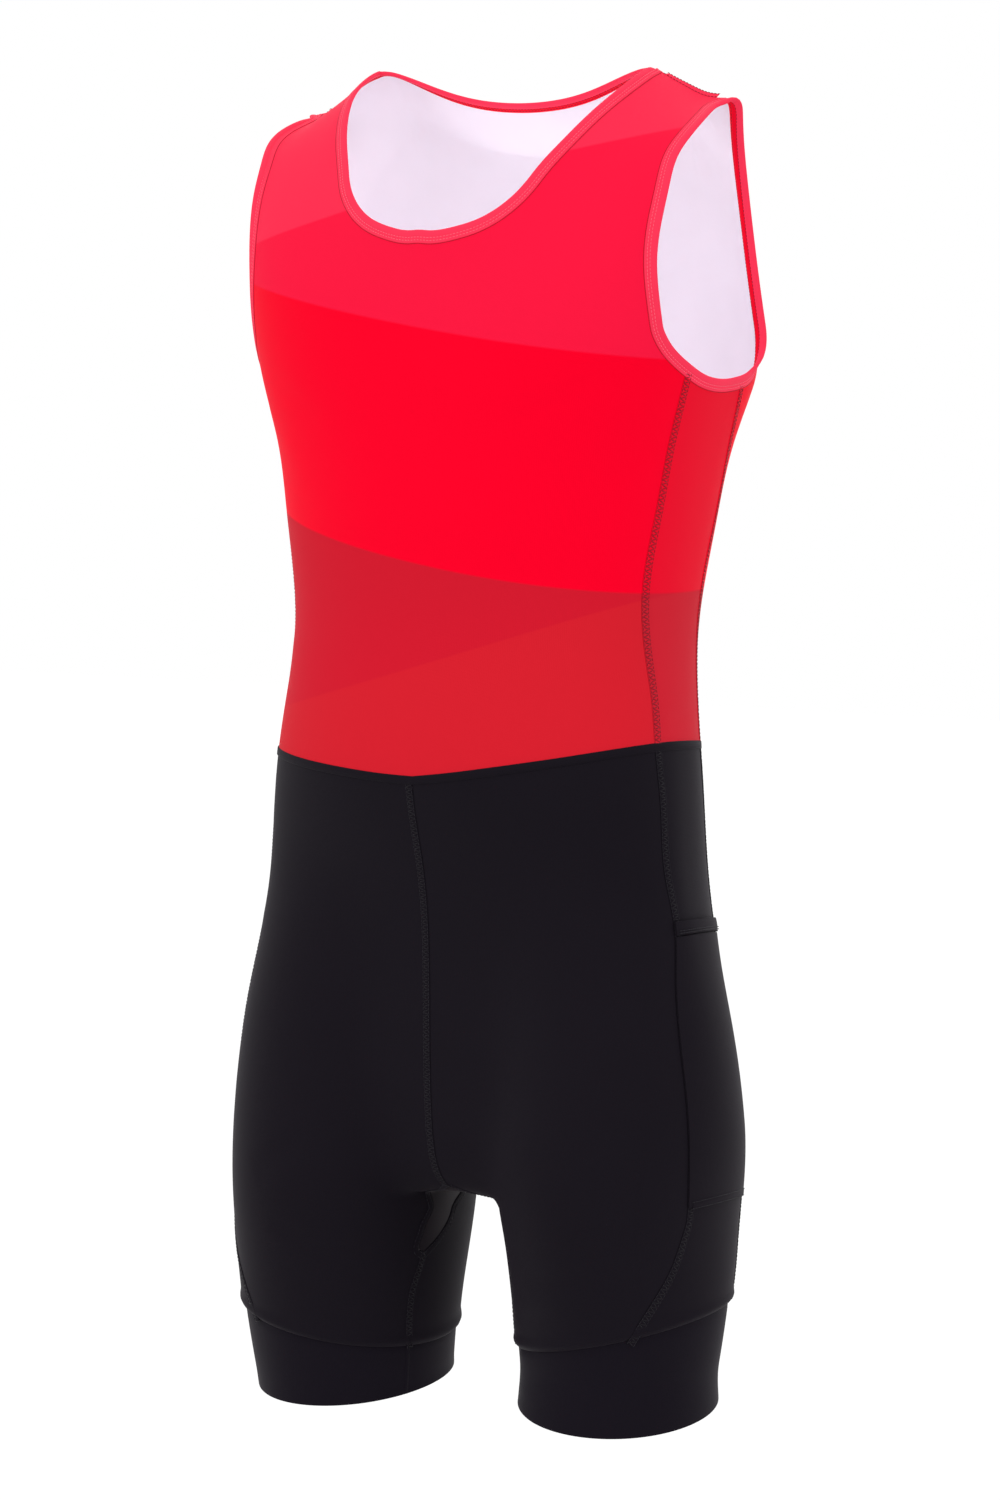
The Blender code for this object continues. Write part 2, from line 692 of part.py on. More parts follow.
def wall(outer, inner, quads):
    """Closed wall between two matching sheets: both faces and a strip on every open edge."""
    count = len(outer)
    start, end = quads.ravel(), np.roll(quads, -1, 1).ravel()
    is_open = ~np.isin(start * count + end, end * count + start)
    start, end = start[is_open], end[is_open]
    strip = np.stack([end, start, start + count, end + count], -1)
    # neighbours that share this edge cut its twisted strip along the same diagonal
    other = (outer[start] - outer[end]) @ DIAGONAL_RULE > 0
    strip[other] = np.roll(strip[other], -1, 1)
    turned = quads[:, [0, 3, 2, 1]] + count
    return np.concatenate([outer, inner]), np.concatenate([quads, turned, strip])


def tube(rings):
    """Closed ring of sections: rings[i, j] is point j of section i."""
    sections, around = rings.shape[:2]
    grid = np.arange(sections * around).reshape(sections, around)
    following = np.roll(grid, -1, 0)
    quads = np.stack([grid, np.roll(grid, -1, 1), np.roll(following, -1, 1), following], -1)
    return rings.reshape(-1, 3), quads.reshape(-1, 4)


def triangles(points, faces):
    """The quads cut from their first corner, turned over if the volume is negative."""
    cut = np.concatenate([faces[:, [0, 1, 2]], faces[:, [0, 2, 3]]])
    a, b, c = (points[cut[:, i]] for i in range(3))
    return cut if (np.cross(a, b) * c).sum() > 0 else cut[:, ::-1]


def material(name, colour, roughness):
    mat = bpy.data.materials.new(name)
    mat.use_nodes = True
    shader = mat.node_tree.nodes["Principled BSDF"]
    shader.inputs["Base Color"].default_value = (*colour, 1)
    shader.inputs["Roughness"].default_value = roughness
    shader.inputs["Metallic"].default_value = 0.0
    return mat


RED = (0.85, 0.02, 0.05)
BINDING_RED = (0.80, 0.05, 0.09)
BLACK = (0.015, 0.012, 0.018)


def piece(name, points, faces, colour, roughness=0.75):
    mesh = bpy.data.meshes.new(name)
    mesh.from_pydata((points * MM).tolist(), [], triangles(points, faces).tolist())
    mesh.update()
    mesh.shade_smooth()
    obj = bpy.data.objects.new(name, mesh)
    obj.data.materials.append(material(name, colour, roughness))
    bpy.context.scene.collection.objects.link(obj)
    return obj


def cloth(name, points, out, quads, colour, top=0.0, thickness=CLOTH):
    """Wall of cloth whose outer face lies `top` above the form."""
    used, corners = np.unique(quads, return_inverse=True)
    points, out = points.reshape(-1, 3)[used], out.reshape(-1, 3)[used]
    faces = wall(points + top * out, points + (top - thickness) * out, corners.reshape(-1, 4))
    piece(name, *faces, colour)


def panel(name, points, out, colour, top=0.0, thickness=CLOTH):
    """Cloth over one patch, drawn back from its seams."""
    grid = np.arange(points[..., 0].size).reshape(points.shape[:2])
    points = pull_in(points, SEAM_GAP / 2)
    cloth(name, points, out, quads_of(grid), colour, top, thickness)


def binding(name, seam, out, towards):
    """Folded strip along a closed seam, reaching from the panel's edge to the opening."""
    tangent = np.roll(seam, -1, 0) - np.roll(seam, 1, 0)
    inward = unit(np.cross(tangent, out))
    inward *= np.sign((inward * (towards - seam)).sum())
    middle = (BINDING_OUT + BINDING_IN) / 2
    flat = BINDING_WIDTH - BINDING_FOLD
    section = [(0, BINDING_OUT), (flat, BINDING_OUT), (BINDING_WIDTH, middle),
               (flat, BINDING_IN), (0, BINDING_IN)]
    rings = np.stack([seam + (SEAM_GAP + u) * inward + v * out for u, v in section], 1)
    piece(name, *tube(rings), BINDING_RED)


# ---------------------------------------------------------------- the garment
def make_bodice():
    for name, front in (("bodice_front", True), ("bodice_back", False)):
        halves = [on_form(bodice_half(front, side), side) for side in (1, -1)]
        joined = middle_rows(front)
        points = np.stack([pull_in(half, SEAM_GAP / 2, joined) for half, _ in halves])
        left, right = np.arange(points[..., 0].size).reshape(points.shape[:3])
        right[:joined + 1, 0] = left[:joined + 1, 0]
        quads = np.concatenate([quads_of(left), quads_of(right[:, ::-1])])
        cloth(name, points, np.stack([out for _, out in halves]), quads, RED)
    for name, side in (("bodice_side_left", 1), ("bodice_side_right", -1)):
        panel(name, *on_form(bodice_side(side), side), RED)


def make_neck_binding():
    halves = []
    for side in (1, -1):
        front = resample(neck_edge(True), NECK_ROWS[True] + 1, side)
        back = resample(neck_edge(False), NECK_ROWS[False] + 1, side)
        half = [on_form(front, side), on_form(back[-2::-1], side)]
        halves.append([np.concatenate(arrays) for arrays in zip(*half)])
    (left, left_out), (right, right_out) = halves
    seam = np.concatenate([left, right[-2:0:-1]])
    out = np.concatenate([left_out, right_out[-2:0:-1]])
    binding("neck_binding", seam, out, seam.mean(0))


def make_armhole_bindings():
    for name, side in (("armhole_binding_left", 1), ("armhole_binding_right", -1)):
        front = resample(armhole_edge("front"), ARM_ROWS + 1, side)
        below = resample(armhole_edge("side"), SIDE_COLUMNS + 1, side)
        back = resample(armhole_edge("back"), ARM_ROWS + 1, side)
        points, out = on_form(np.concatenate([front, below[1:], back[1:-1]]), side)
        binding(name, points, out, points.mean(0))


def make_shorts():
    for word, side in (("left", 1), ("right", -1)):
        panel(f"shorts_front_{word}", *on_form(shorts_panel(True, side), side), BLACK)
        panel(f"shorts_back_{word}", *on_form(shorts_panel(False, side), side), BLACK)
        panel(f"shorts_side_{word}", *on_form(shorts_side(side), side), BLACK)


def make_gusset():
    """Rounded strip under the fork, its ends part way down the inner thighs."""
    share = np.linspace(0, 1, GUSSET_COLUMNS + 1)
    halves = []
    for side in (1, -1):
        front = gusset_y(True, FANS, side)[:, None]
        back = gusset_y(False, FANS, side)[:, None]
        fan = np.broadcast_to(FANS[:, None], (len(FANS), len(share)))
        half = fork(fan, front + (back - front) * share, side)
        half[-1] = half[-2] + (half[-1] - half[-2]) * GUSSET_REACH
        halves.append(half)
    points = np.concatenate([halves[1][:0:-1], halves[0]])
    panel("crotch_gusset", pull_in(points, GUSSET_INSET), slope(points), BLACK)


def make_cuffs():
    """Bands that hang from the panels' own bottom edges, down to the hem."""
    share = np.linspace(0, 1, CUFF_ROWS + 1)[:, None]
    for name, side in (("leg_cuff_left", 1), ("leg_cuff_right", -1)):
        edges = [shorts_panel(True, side)[-1], shorts_side(side)[-1, 1:],
                 shorts_panel(False, side)[-1, -2:0:-1]]
        around, top = np.concatenate(edges).T
        height = (top - SEAM_GAP) * (1 - share) + swinging(HEM, side, around) * share
        domain = np.stack([np.broadcast_to(around, height.shape), height], -1)
        grid = np.arange(height.size).reshape(height.shape)
        quads = quads_of(np.concatenate([grid, grid[:, :1]], 1))
        cloth(name, *on_form(domain, side), quads, BLACK, -CUFF_STEP, CUFF_CLOTH)


def make_pocket():
    """Bag and folded band, laid on the left side panel's own points."""
    above, band, bag = np.cumsum(POCKET_ROWS[:3])
    points, out = on_form(shorts_side(1), 1)
    for name, rows, thickness in (("pocket_band", slice(above, band + 1), BAND_CLOTH),
                                  ("pocket_left", slice(band, bag + 1), POCKET_CLOTH)):
        laid = pull_in(points[rows], POCKET_INSET)
        panel(name, laid, out[rows], BLACK, POCKET_LIFT + thickness, thickness)


def main():
    for obj in list(bpy.data.objects):
        bpy.data.objects.remove(obj, do_unlink=True)
    make_bodice()
    make_neck_binding()
    make_armhole_bindings()
    make_shorts()
    make_gusset()
    make_cuffs()
    make_pocket()


main()
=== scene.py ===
# %% [markdown]
# # A sleeveless rowing unisuit, standing open as it is worn
# The suit is sewn from eighteen pieces of stretch knit. The frame loaded below
# holds each piece as a plain solid wall; this script dresses every one of them with a
# finely meshed cloth, adds the seams, and gives each cloth its own finish.

# %% Load the frame and bake its placement into its meshes
import math
import bpy
import numpy as np
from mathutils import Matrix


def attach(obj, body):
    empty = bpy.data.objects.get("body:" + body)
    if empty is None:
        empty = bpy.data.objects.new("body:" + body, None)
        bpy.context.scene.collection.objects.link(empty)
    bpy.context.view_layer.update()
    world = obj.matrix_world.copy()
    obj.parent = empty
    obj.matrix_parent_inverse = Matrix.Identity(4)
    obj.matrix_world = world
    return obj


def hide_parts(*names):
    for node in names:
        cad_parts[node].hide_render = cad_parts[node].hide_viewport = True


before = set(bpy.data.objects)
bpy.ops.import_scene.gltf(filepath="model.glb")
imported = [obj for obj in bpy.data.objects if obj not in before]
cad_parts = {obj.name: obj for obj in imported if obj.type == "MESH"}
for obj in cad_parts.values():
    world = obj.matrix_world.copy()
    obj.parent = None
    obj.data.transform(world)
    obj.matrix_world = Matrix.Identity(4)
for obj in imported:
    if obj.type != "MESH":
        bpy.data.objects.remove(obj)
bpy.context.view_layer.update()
MM = 0.001                     # sizes below are in millimetres

# %% [markdown]
# ## The camera
# It stands 2.76 m from the suit, 30 degrees round towards the wearer's left and a
# little below the shoulders, and looks down by a tenth: 96 mm on a 36 mm sensor.

# %% Camera
AROUND, AWAY, EYE_HEIGHT = 30.0, 2.76, -0.1812
DOWN = math.atan(0.1)
HEADING = math.radians(AROUND) + math.atan(0.004125 * math.cos(DOWN))

LENS, SENSOR, FARTHEST = 96.0, 36.0, 50.0


def placed(name, data, location=(0, 0, 0), turn=(0, 0, 0)):
    """A new object that shows some data, linked to the scene."""
    made = bpy.data.objects.new(name, data)
    made.location, made.rotation_euler = location, turn
    bpy.context.scene.collection.objects.link(made)
    return made


camera_data = bpy.data.cameras.new("camera")
camera_data.lens, camera_data.sensor_width, camera_data.clip_end = LENS, SENSOR, FARTHEST
camera = placed("camera", camera_data,
                (AWAY * math.sin(math.radians(AROUND)),
                 -AWAY * math.cos(math.radians(AROUND)), EYE_HEIGHT),
                (math.pi / 2 - DOWN, 0, HEADING))
bpy.context.scene.camera = camera
print("camera at", [round(v, 3) for v in camera.location])

# %% [markdown]
# ## The form under the cloth
# A stretch suit follows one smooth body-like form. A place on it is (angle, level): the
# angle is 0 in front, 90 at the wearer's outer side and 180 behind, and the level is
# the height up to the chest, then the way over the shoulder. Working in these two
# parameters keeps every panel, seam and stitch on the same surface.

# %% Named sizes and a small table class
# ---- shoulders
CHEST = -170.0             # level above which the columns run over the shoulder
RISE = 200.0               # levels from the chest to the shoulder line
RIDGE_TOP = CHEST + RISE
NECK_X, NECK_Z = 103.0, 10.5     # shoulder line at the neck opening
TIP_X, TIP_Z = 170.0, -17.0      # shoulder line at the armhole
FRONT_SHARE, BACK_SHARE = 0.965, 1.0      # how far out a column ends, against its start
ARMPIT = -208.0            # above it the back narrows behind the armholes
BACK_DRAW, DRAW_RISE = 14.0, 70.0
SHOULDER_DRAW = 9.0        # and the back of the shoulder leans in by this much
NAPE_Y, NAPE_DROP, NAPE_SLOPE = 1.0, 22.0, 0.7
NAPE_BLEND = 7.0           # how widely the nape's dip and the shoulder line merge
SHOULDER_TILT = 0.024      # the left strap is a little lower than the right one,
TIP_LIFT = 1.2             # but the shoulders' tips are nearly level
TIP_FROM, TIP_OVER = 95.0, 70.0            # the width over which that changes
TILT_FROM, TILT_OVER = -240.0, 200.0       # the height over which the tilt sets in

# ---- heights of the trunk and legs
WAIST = -453.0
CROTCH = -757.0
LEG_TOP = -480.0           # above it the legs fade into the trunk
UNDERSIDE_TOP = -690.0     # below it the trunk closes towards the crotch
LEG_AXIS = 106.0           # x of the leg axis at the crotch
WAIST_TILT = 0.05          # the waist seam rises towards the left hip
LEFT_LEG_SLIMMER = 5.5
SLIMMER_FROM, SLIMMER_OVER = -700.0, 90.0
SLIMMER_END, SLIMMER_ENDS_OVER = -865.0, 45.0
LEG_FADE = 0.7             # how fast a leg's surface withdraws above LEG_TOP
BLEND, BLEND_OVER = 7.0, 120.0             # softness where legs and trunk meet
FORK_BLEND, FORK_FROM, FORK_OVER = 5.0, -715.0, 40.0       # and more of it at the fork
UNDERSIDE_ROUNDING = 1 / 2.2
UNDERSIDE_NARROWS = 0.35   # and the trunk's underside is this much narrower
FAR_AWAY, RAY = 400.0, 260.0
HALVINGS = 34              # steps of the search for the form along a ray


class Table:
    """Rows with named columns; `at` reads a column where the first one has a value."""

    def __init__(self, names, *rows):
        self.names = names.split()
        self.rows = np.array(rows, float)

    def column(self, name):
        """All the values under one name."""
        return self.rows[:, self.names.index(name)]

    def either(self, front, place, names):
        """The first of two columns where `front` holds, and the second elsewhere."""
        return np.where(front, *(self.at(place, name) for name in names.split()))

    def at(self, place, name):
        """The column's value at a place, on a smooth curve through the rows."""
        return curve(place, self.rows[:, 0], self.column(name))


# %% Smooth curves through table rows
def curve(place, xs, ys):
    """Natural cubic curve through the points (xs, ys)."""
    if xs[0] > xs[-1]:
        xs, ys = xs[::-1], ys[::-1]
    count = len(xs)
    step = np.diff(xs)
    slope = np.diff(ys) / step
    matrix = np.eye(count)
    right = np.zeros(count)
    for i in range(1, count - 1):
        matrix[i, i - 1:i + 2] = step[i - 1], 2 * (step[i - 1] + step[i]), step[i]
        right[i] = 6 * (slope[i] - slope[i - 1])
    bend = np.linalg.solve(matrix, right)
    place = np.clip(place, xs[0], xs[-1])
    i = np.clip(np.searchsorted(xs, place) - 1, 0, count - 2)
    t = place - xs[i]
    first = slope[i] - step[i] * (2 * bend[i] + bend[i + 1]) / 6
    return ys[i] + t * first + t**2 * bend[i] / 2 + t**3 * (bend[i + 1] - bend[i]) / (6 * step[i])


def ease(t):
    """Smooth step from 0 to 1."""
    t = np.clip(t, 0, 1)
    return t * t * (3 - 2 * t)


# %% [markdown]
# Sections: a superellipse for the trunk, an ellipse for each leg, and cubic slices that
# carry the cloth over the shoulders.

# %% Section tables
TRUNK = Table(
    "height half_width front back centre_y power",
    (-150, 180.0, 128, 112, -4, 2.90), (-200, 171.0, 126, 108.5, -8, 2.70),
    (-245, 160.5, 120, 100, -13, 2.45), (-300, 152.0, 112, 103, -21, 2.30),
    (-366, 145.5, 101, 100, -29, 2.20), (-410, 147.5, 100, 104, -36, 2.20),
    (-453, 152.5, 98, 110, -42, 2.20), (-533, 159.0, 71, 120, -51, 2.30),
    (-600, 160.0, 65, 126, -51, 2.40), (-670, 157.0, 64, 120, -51, 2.40),
    (-715, 152.0, 60, 104, -52, 2.40),
)
LEG = Table(
    "height centre_x side front back centre_y",
    (-480, 73.0, 68.0, 50, 70, -45), (-560, 87.0, 72.0, 62, 78, -49),
    (-630, 99.0, 79.0, 75, 84, -47), (-700, 104.0, 83.0, 90, 92, -44),
    (-761, 106.0, 82.0, 97, 97, -42), (-800, 107.5, 80.0, 91, 91, -42),
    (-840, 108.0, 77.5, 81, 80, -44), (-910, 105.0, 68.5, 74, 74, -44),
)
# Cubic slices over the shoulder: how far each end's handle reaches, from the middle
# of the body (share 0) to the shoulder tip (share 1).
SLICE = Table(
    "share front_rise front_reach back_rise back_reach",
    (0.0, 0.65, 0.90, 0.45, 0.35),
    (0.5, 0.54, 0.32, 0.44, 0.32),
    (1.0, 1.04, 0.40, 0.40, 0.32),
)


# %% Trunk and shoulders
def torso(angle, height):
    """Superellipse section of the trunk at a height."""
    sin, cos = np.sin(angle), np.cos(angle)
    power = TRUNK.at(height, "power")
    front = cos > 0
    depth = TRUNK.either(front, height, "front back")
    drawn = np.where(front, 0, BACK_DRAW * ease((height - ARMPIT) / DRAW_RISE))
    wide = np.abs(sin) / (TRUNK.at(height, "half_width") - drawn)
    radius = (wide**power + (np.abs(cos) / depth)**power)**(-1 / power)
    y = TRUNK.at(height, "centre_y") - radius * cos
    return np.stack([radius * sin, y, height], -1)


# %% [markdown]
# Above the chest each column of the cloth is one cubic slice, from the trunk's section up
# to the shoulder line. Its two handles say in which direction it leaves either end.

# %% Over the shoulder
RIDGE = Table(
    "x height",
    (-60, 36.0), (0, 52.0), (60, 36.0), (103, 12.0), (115, 3.8), (130, -5.2), (145, -13.0),
    (160, -15.6), (180, -17.5),
)                              # the first row mirrors the third, so the top is smooth
FALL, FALL_FROM, FALL_OVER = 0.57, 0.5, 0.43      # how the front leaves the shoulder line
RIGHT_WIDER, WIDER_AT, WIDER_OVER = 0.05, -50.0, 42.0     # the right shoulder's front,
WIDER_FROM, WIDER_WITHIN = 110.0, 50.0                    # from this x outward
BELOW_CHEST = 5.0              # how far below the chest the slices take their direction


def ridge_z(x):
    """Height of the shoulder line, which sags a little between neck and tip."""
    return RIDGE.at(np.abs(x), "height")


def back_top(x):
    """Top of the back: the shoulder line and the dip at the nape, run smoothly together."""
    line, dip = ridge_z(x), NECK_Z - NAPE_DROP * (1 - (x / NECK_X)**2)
    soft = NAPE_BLEND * (1 - ease((np.abs(x) - NECK_X) / (NECK_SEAM_X - NECK_X)))
    return (line + dip - np.sqrt((line - dip)**2 + soft**2)) / 2


def over_shoulder(angle, way):
    """Cubic slice from the chest level (way 0) up to the shoulder line (way 1)."""
    start = torso(angle, np.full(angle.shape, CHEST))
    lower = torso(angle, np.full(angle.shape, CHEST - BELOW_CHEST))
    rising = (start - lower) / (start - lower)[..., 2:]
    front = np.cos(angle) > 0
    x = start[..., 0] * np.where(front, FRONT_SHARE, BACK_SHARE)
    share = np.abs(x) / TIP_X
    nape = np.clip(1 - (x / NECK_X)**2, 0, 1)
    top_z = np.where(front, ridge_z(x), back_top(x))
    top = np.stack([x, np.where(front, 0, NAPE_Y * nape), top_z], -1)
    rise = SLICE.either(front, share, "front_rise back_rise")
    reach = SLICE.either(front, share, "front_reach back_reach")
    reach = reach * (start[..., 1] - top[..., 1])
    handle_a = start + rising * ((top_z - start[..., 2]) * rise)[..., None]
    handle_b = top.copy()
    drawn = np.where(front, 0, SHOULDER_DRAW * share**3)
    handle_a[..., 0] -= drawn * np.sign(x)
    handle_b[..., 0] -= drawn * np.sign(x)
    handle_b[..., 2] += drawn * (NECK_Z - TIP_Z) / (TIP_X - NECK_X)
    handle_b[..., 1] += reach
    fall = FALL * ease((share - FALL_FROM) / FALL_OVER)
    handle_b[..., 2] -= np.where(front, -fall, NAPE_SLOPE * ease(nape)) * reach
    t = way[..., None]
    return ((1 - t)**3 * start + 3 * (1 - t)**2 * t * handle_a
            + 3 * (1 - t) * t**2 * handle_b + t**3 * top)


# %% [markdown]
# Below the waist the surface is where a blend of three distances is zero: to the trunk
# and to either leg. A soft minimum joins them, so the fork comes out rounded.

# %% Trunk and legs
def radial_gap(dx, dy, level):
    """Distance from a section outline, along the ray from its middle; level is its norm."""
    radius = np.hypot(dx, dy)
    return radius - radius / np.maximum(level, 1e-9)


def trunk_gap(x, y, z):
    """Gap to the trunk, whose sections shrink to a rounded underside at the crotch."""
    low = np.clip((UNDERSIDE_TOP - z) / (UNDERSIDE_TOP - CROTCH), 0, 1)
    close = np.maximum(1 - low**3, 1e-4)**UNDERSIDE_ROUNDING
    dy = y - TRUNK.at(z, "centre_y")
    depth = TRUNK.either(dy < 0, z, "front back") * close
    width = TRUNK.at(z, "half_width") * (1 - UNDERSIDE_NARROWS * low)
    power = TRUNK.at(z, "power")
    norm = ((np.abs(x) / width)**power + (np.abs(dy) / depth)**power)**(1 / power)
    return np.where(z < CROTCH + 0.5, FAR_AWAY, radial_gap(x, dy, norm))


def leg_gap(x, y, z, side):
    """Gap to one leg's elliptic sections; above LEG_TOP the leg withdraws steadily."""
    slim = LEFT_LEG_SLIMMER * ease((SLIMMER_FROM - z) / SLIMMER_OVER) * (side > 0)
    slim *= 1 - ease((SLIMMER_END - z) / SLIMMER_ENDS_OVER)
    dx = x - side * LEG.at(z, "centre_x")
    dy = y - LEG.at(z, "centre_y")
    depth = LEG.either(dy < 0, z, "front back") - slim
    norm = np.hypot(dx / (LEG.at(z, "side") - slim), dy / depth)
    return radial_gap(dx, dy, norm) + LEG_FADE * np.maximum(z - LEG_TOP, 0)


def body_gap(x, y, z):
    """Trunk and both legs, blended: below 0 inside, above 0 outside."""
    gaps = np.stack([trunk_gap(x, y, z), leg_gap(x, y, z, 1), leg_gap(x, y, z, -1)])
    least = gaps.min(0)
    soft = (BLEND * np.clip((WAIST - z) / BLEND_OVER, 0.02, 1)
            + FORK_BLEND * ease((FORK_FROM - z) / FORK_OVER))
    return least - soft * np.log(np.exp(-(gaps - least) / soft).sum(0))


def crossing(place, near, far):
    """Where body_gap changes from inside (near) to outside (far) along place(t)."""
    near, far = np.array(near, float), np.array(far, float)
    for _ in range(HALVINGS):
        middle = (near + far) / 2
        inside = body_gap(*place(middle)) < 0
        near = np.where(inside, middle, near)
        far = np.where(inside, far, middle)
    return (near + far) / 2


def axis_x(height):
    """The rays start on the body's axis at the waist and on the leg's at the crotch."""
    return LEG_AXIS * ease((WAIST - height) / (WAIST - CROTCH))


def axis_y(height):
    """And they keep to the trunk's own middle from front to back."""
    return TRUNK.at(height, "centre_y")


def below_waist(angle, height, side):
    """Where a level ray from the axis leaves the blended trunk and legs."""
    cx, cy = axis_x(height), axis_y(height)
    sin, cos = np.sin(angle), np.cos(angle)
    to_middle = np.where(sin < 0, cx / np.maximum(-sin, 1e-9), RAY)

    def place(t):
        return side * (cx + t * sin), cy - t * cos, height

    distance = crossing(place, np.zeros(height.shape), np.minimum(to_middle, RAY))
    return np.stack([side * (cx + distance * sin), cy - distance * cos, height], -1)


# %% [markdown]
# One function now answers for the whole body, and another for its outward normals.

# %% The form and its normals
def form(angle, level, side):
    """Points of the body's left (side 1) or right (side -1) half."""
    angle, level = np.broadcast_arrays(np.radians(angle), np.asarray(level, float))
    way = np.clip((level - CHEST) / RISE, 0, 1)
    upper = np.where((level > CHEST)[..., None], over_shoulder(angle, way),
                     torso(angle, np.clip(level, WAIST, CHEST)))
    wider = ease((upper[..., 0] - WIDER_FROM) / WIDER_WITHIN)
    wider = wider * np.exp(-((level - WIDER_AT) / WIDER_OVER)**2)
    upper[..., 0] *= side + (side < 0) * -RIGHT_WIDER * wider * (np.cos(angle) > 0)
    outer = ease((np.abs(upper[..., 0]) - TIP_FROM) / TIP_OVER)
    tilt = SHOULDER_TILT * ease((upper[..., 2] - TILT_FROM) / TILT_OVER)
    upper[..., 2] -= tilt * (1 - TIP_LIFT * outer) * upper[..., 0]
    lower = below_waist(angle, np.minimum(level, WAIST), side)
    return np.where((level >= WAIST)[..., None], upper, lower)


def unit(vectors):
    """Vectors divided by their lengths."""
    return vectors / np.maximum(np.linalg.norm(vectors, axis=-1, keepdims=True), 1e-9)


NUDGE, NUDGE_UP = 0.05, 0.5    # small steps for slopes, in degrees or millimetres


def slope(points):
    """Unit slope of body_gap, the outward normal below the waist."""
    shift = np.eye(3) * NUDGE
    rise = [body_gap(*np.moveaxis(points + d, -1, 0)) - body_gap(*np.moveaxis(points - d, -1, 0))
            for d in shift]
    return unit(np.stack(rise, -1))


def normals(angle, level, side, points):
    """Outward unit normals: from differences above the waist, the blend's slope below."""
    level = np.asarray(level, float)
    across = form(angle + NUDGE, level, side) - form(angle - NUDGE, level, side)
    low, high = level - NUDGE_UP, np.minimum(level + NUDGE_UP, RIDGE_TOP)
    along = form(angle, high, side) - form(angle, low, side)
    upper = unit(np.cross(across, along) * side)
    return np.where((level >= WAIST + 1)[..., None], upper, slope(points))


# %% [markdown]
# ## Where the pieces are cut
# Each seam is a short table of (angle, level) rows with a smooth curve through it.

# %% Seam tables, angles in degrees
NECK_SEAM_X = 111.8        # where the neck and armhole seams cross the shoulder line
ARM_SEAM_X = 159.0
NECK_FRONT = Table(
    "angle level",
    (0.0, -140.2), (4.5, -139.4), (9.0, -137.2), (13.5, -134.1), (17.7, -130.5),
    (21.7, -125.8), (25.2, -120.2), (28.0, -114.2), (30.4, -107.2), (32.6, -97.8),
    (36.3, -82.0), (40.4, -60.0), (43.6, -35.0),
)
NECK_BACK = Table("angle level", (180.0, 15), (165.0, 15), (150.0, 17), (140.0, 22))
ARMHOLE = Table(
    "angle level",
    (63.2, 14), (61.9, -10), (60.8, -38), (58.9, -61), (57.4, -80), (57.1, -108),
    (57.4, -144), (61.0, -170), (65.6, -187), (72.2, -199), (78.8, -206), (85.0, -208),
    (92.0, -207), (99.5, -203), (104.2, -195), (106.2, -184), (106.8, -171), (107.0, -154),
    (107.1, -130), (107.2, -103), (107.0, -75), (105.8, -45), (104.4, -15), (106.4, 12),
)
SIDE_SEAMS = Table(
    "height front_angle back_angle",
    (-188, 71.0, 95.0), (-239, 71.0, 99.0), (-280, 71.5, 102.0), (-336, 71.5, 101.0),
    (-379, 74.5, 103.0), (-414, 77.5, 105.0), (-446, 78.5, 106.0), (-478, 80.0, 109.0),
    (-525, 81.0, 113.0), (-561, 82.0, 117.0), (-596, 78.0, 120.0), (-640, 73.0, 125.0),
    (-686, 70.0, 130.0), (-742, 67.5, 134.0), (-756, 67.0, 134.5), (-769, 64.0, 134.0),
    (-786, 59.0, 133.5), (-803, 51.0, 133.0), (-817, 44.0, 132.5), (-834, 36.0, 132.0),
    (-866, 22.0, 131.0),
)
WAIST_SEAM = Table(
    "angle height",
    (0, -463.0), (15, -461.0), (30, -458.0), (52, -452.5), (70, -448.0), (80, -447.0),
    (106, -451.0), (140, -454.0), (180, -455.0),
)
INSEAM = Table("height angle", (-797, -72.0), (-815, -70.0), (-840, -67.5), (-872, -69.0))
INSEAM_BLEND = 30.0        # height over which the inseam leaves the gusset's end
# Edges of the gusset round the fork: the fan angle is 0 straight up from the fork
# axis and grows down the inner thigh.
FORK_Z = -771.0
GUSSET_TIP_Z = -748.0
GUSSET_END = 133.0
GUSSET = Table(
    "fan front_y back_y",
    (0, -88, 36), (35, -79, 4), (70, -70, -30), (90, -67, -44), (111, -73, -49),
    (124, -76, -57), (130, -76, -65), (133, -72, -72),
)
# Cuff seam and hem of each leg: mean height, swing and where the seam is highest.
CUFF_SEAM = {1: (-838.0, 15.5, 110.0), -1: (-857.0, 10.5, 95.0)}
HEM = {1: (-893.0, 8.0, 205.0), -1: (-901.0, 7.5, 195.0)}
POCKET_TOP, POCKET_BAND, POCKET_END = -557.0, 10.0, -746.0
POCKET_SLANT = 8.0         # the pocket is lower at the back edge
FORE_AND_AFT, FORK_RAY = 200.0, 70.0       # how far the seams' rays look for the form
MIDDLE_POINTS = 120
UNDERARM = -180.0          # the side seams reach the armhole below this level


# %% [markdown]
# A seam is walked by its length: the way up to each point is summed, and any column of
# numbers can then be read at evenly spaced places along it.

# %% Seam curves and patches between them
def lengths(points):
    """Way along a line of points, up to each of them."""
    return np.pad(np.linalg.norm(np.diff(points, axis=0), axis=1).cumsum(), (1, 0))


def read_at(place, length, array):
    """An array's columns, read at places along a line."""
    return np.stack([np.interp(place, length, column) for column in array.T], -1)


def ridge_angle(x, front):
    """Angle of the column that ends at x on the shoulder line."""
    angles = np.linspace(1, 89, 400) if front else np.linspace(179, 91, 400)
    ends = torso(np.radians(angles), np.full(400, CHEST))[:, 0]
    ends = ends * (FRONT_SHARE if front else BACK_SHARE)
    return float(np.interp(x, ends, angles))


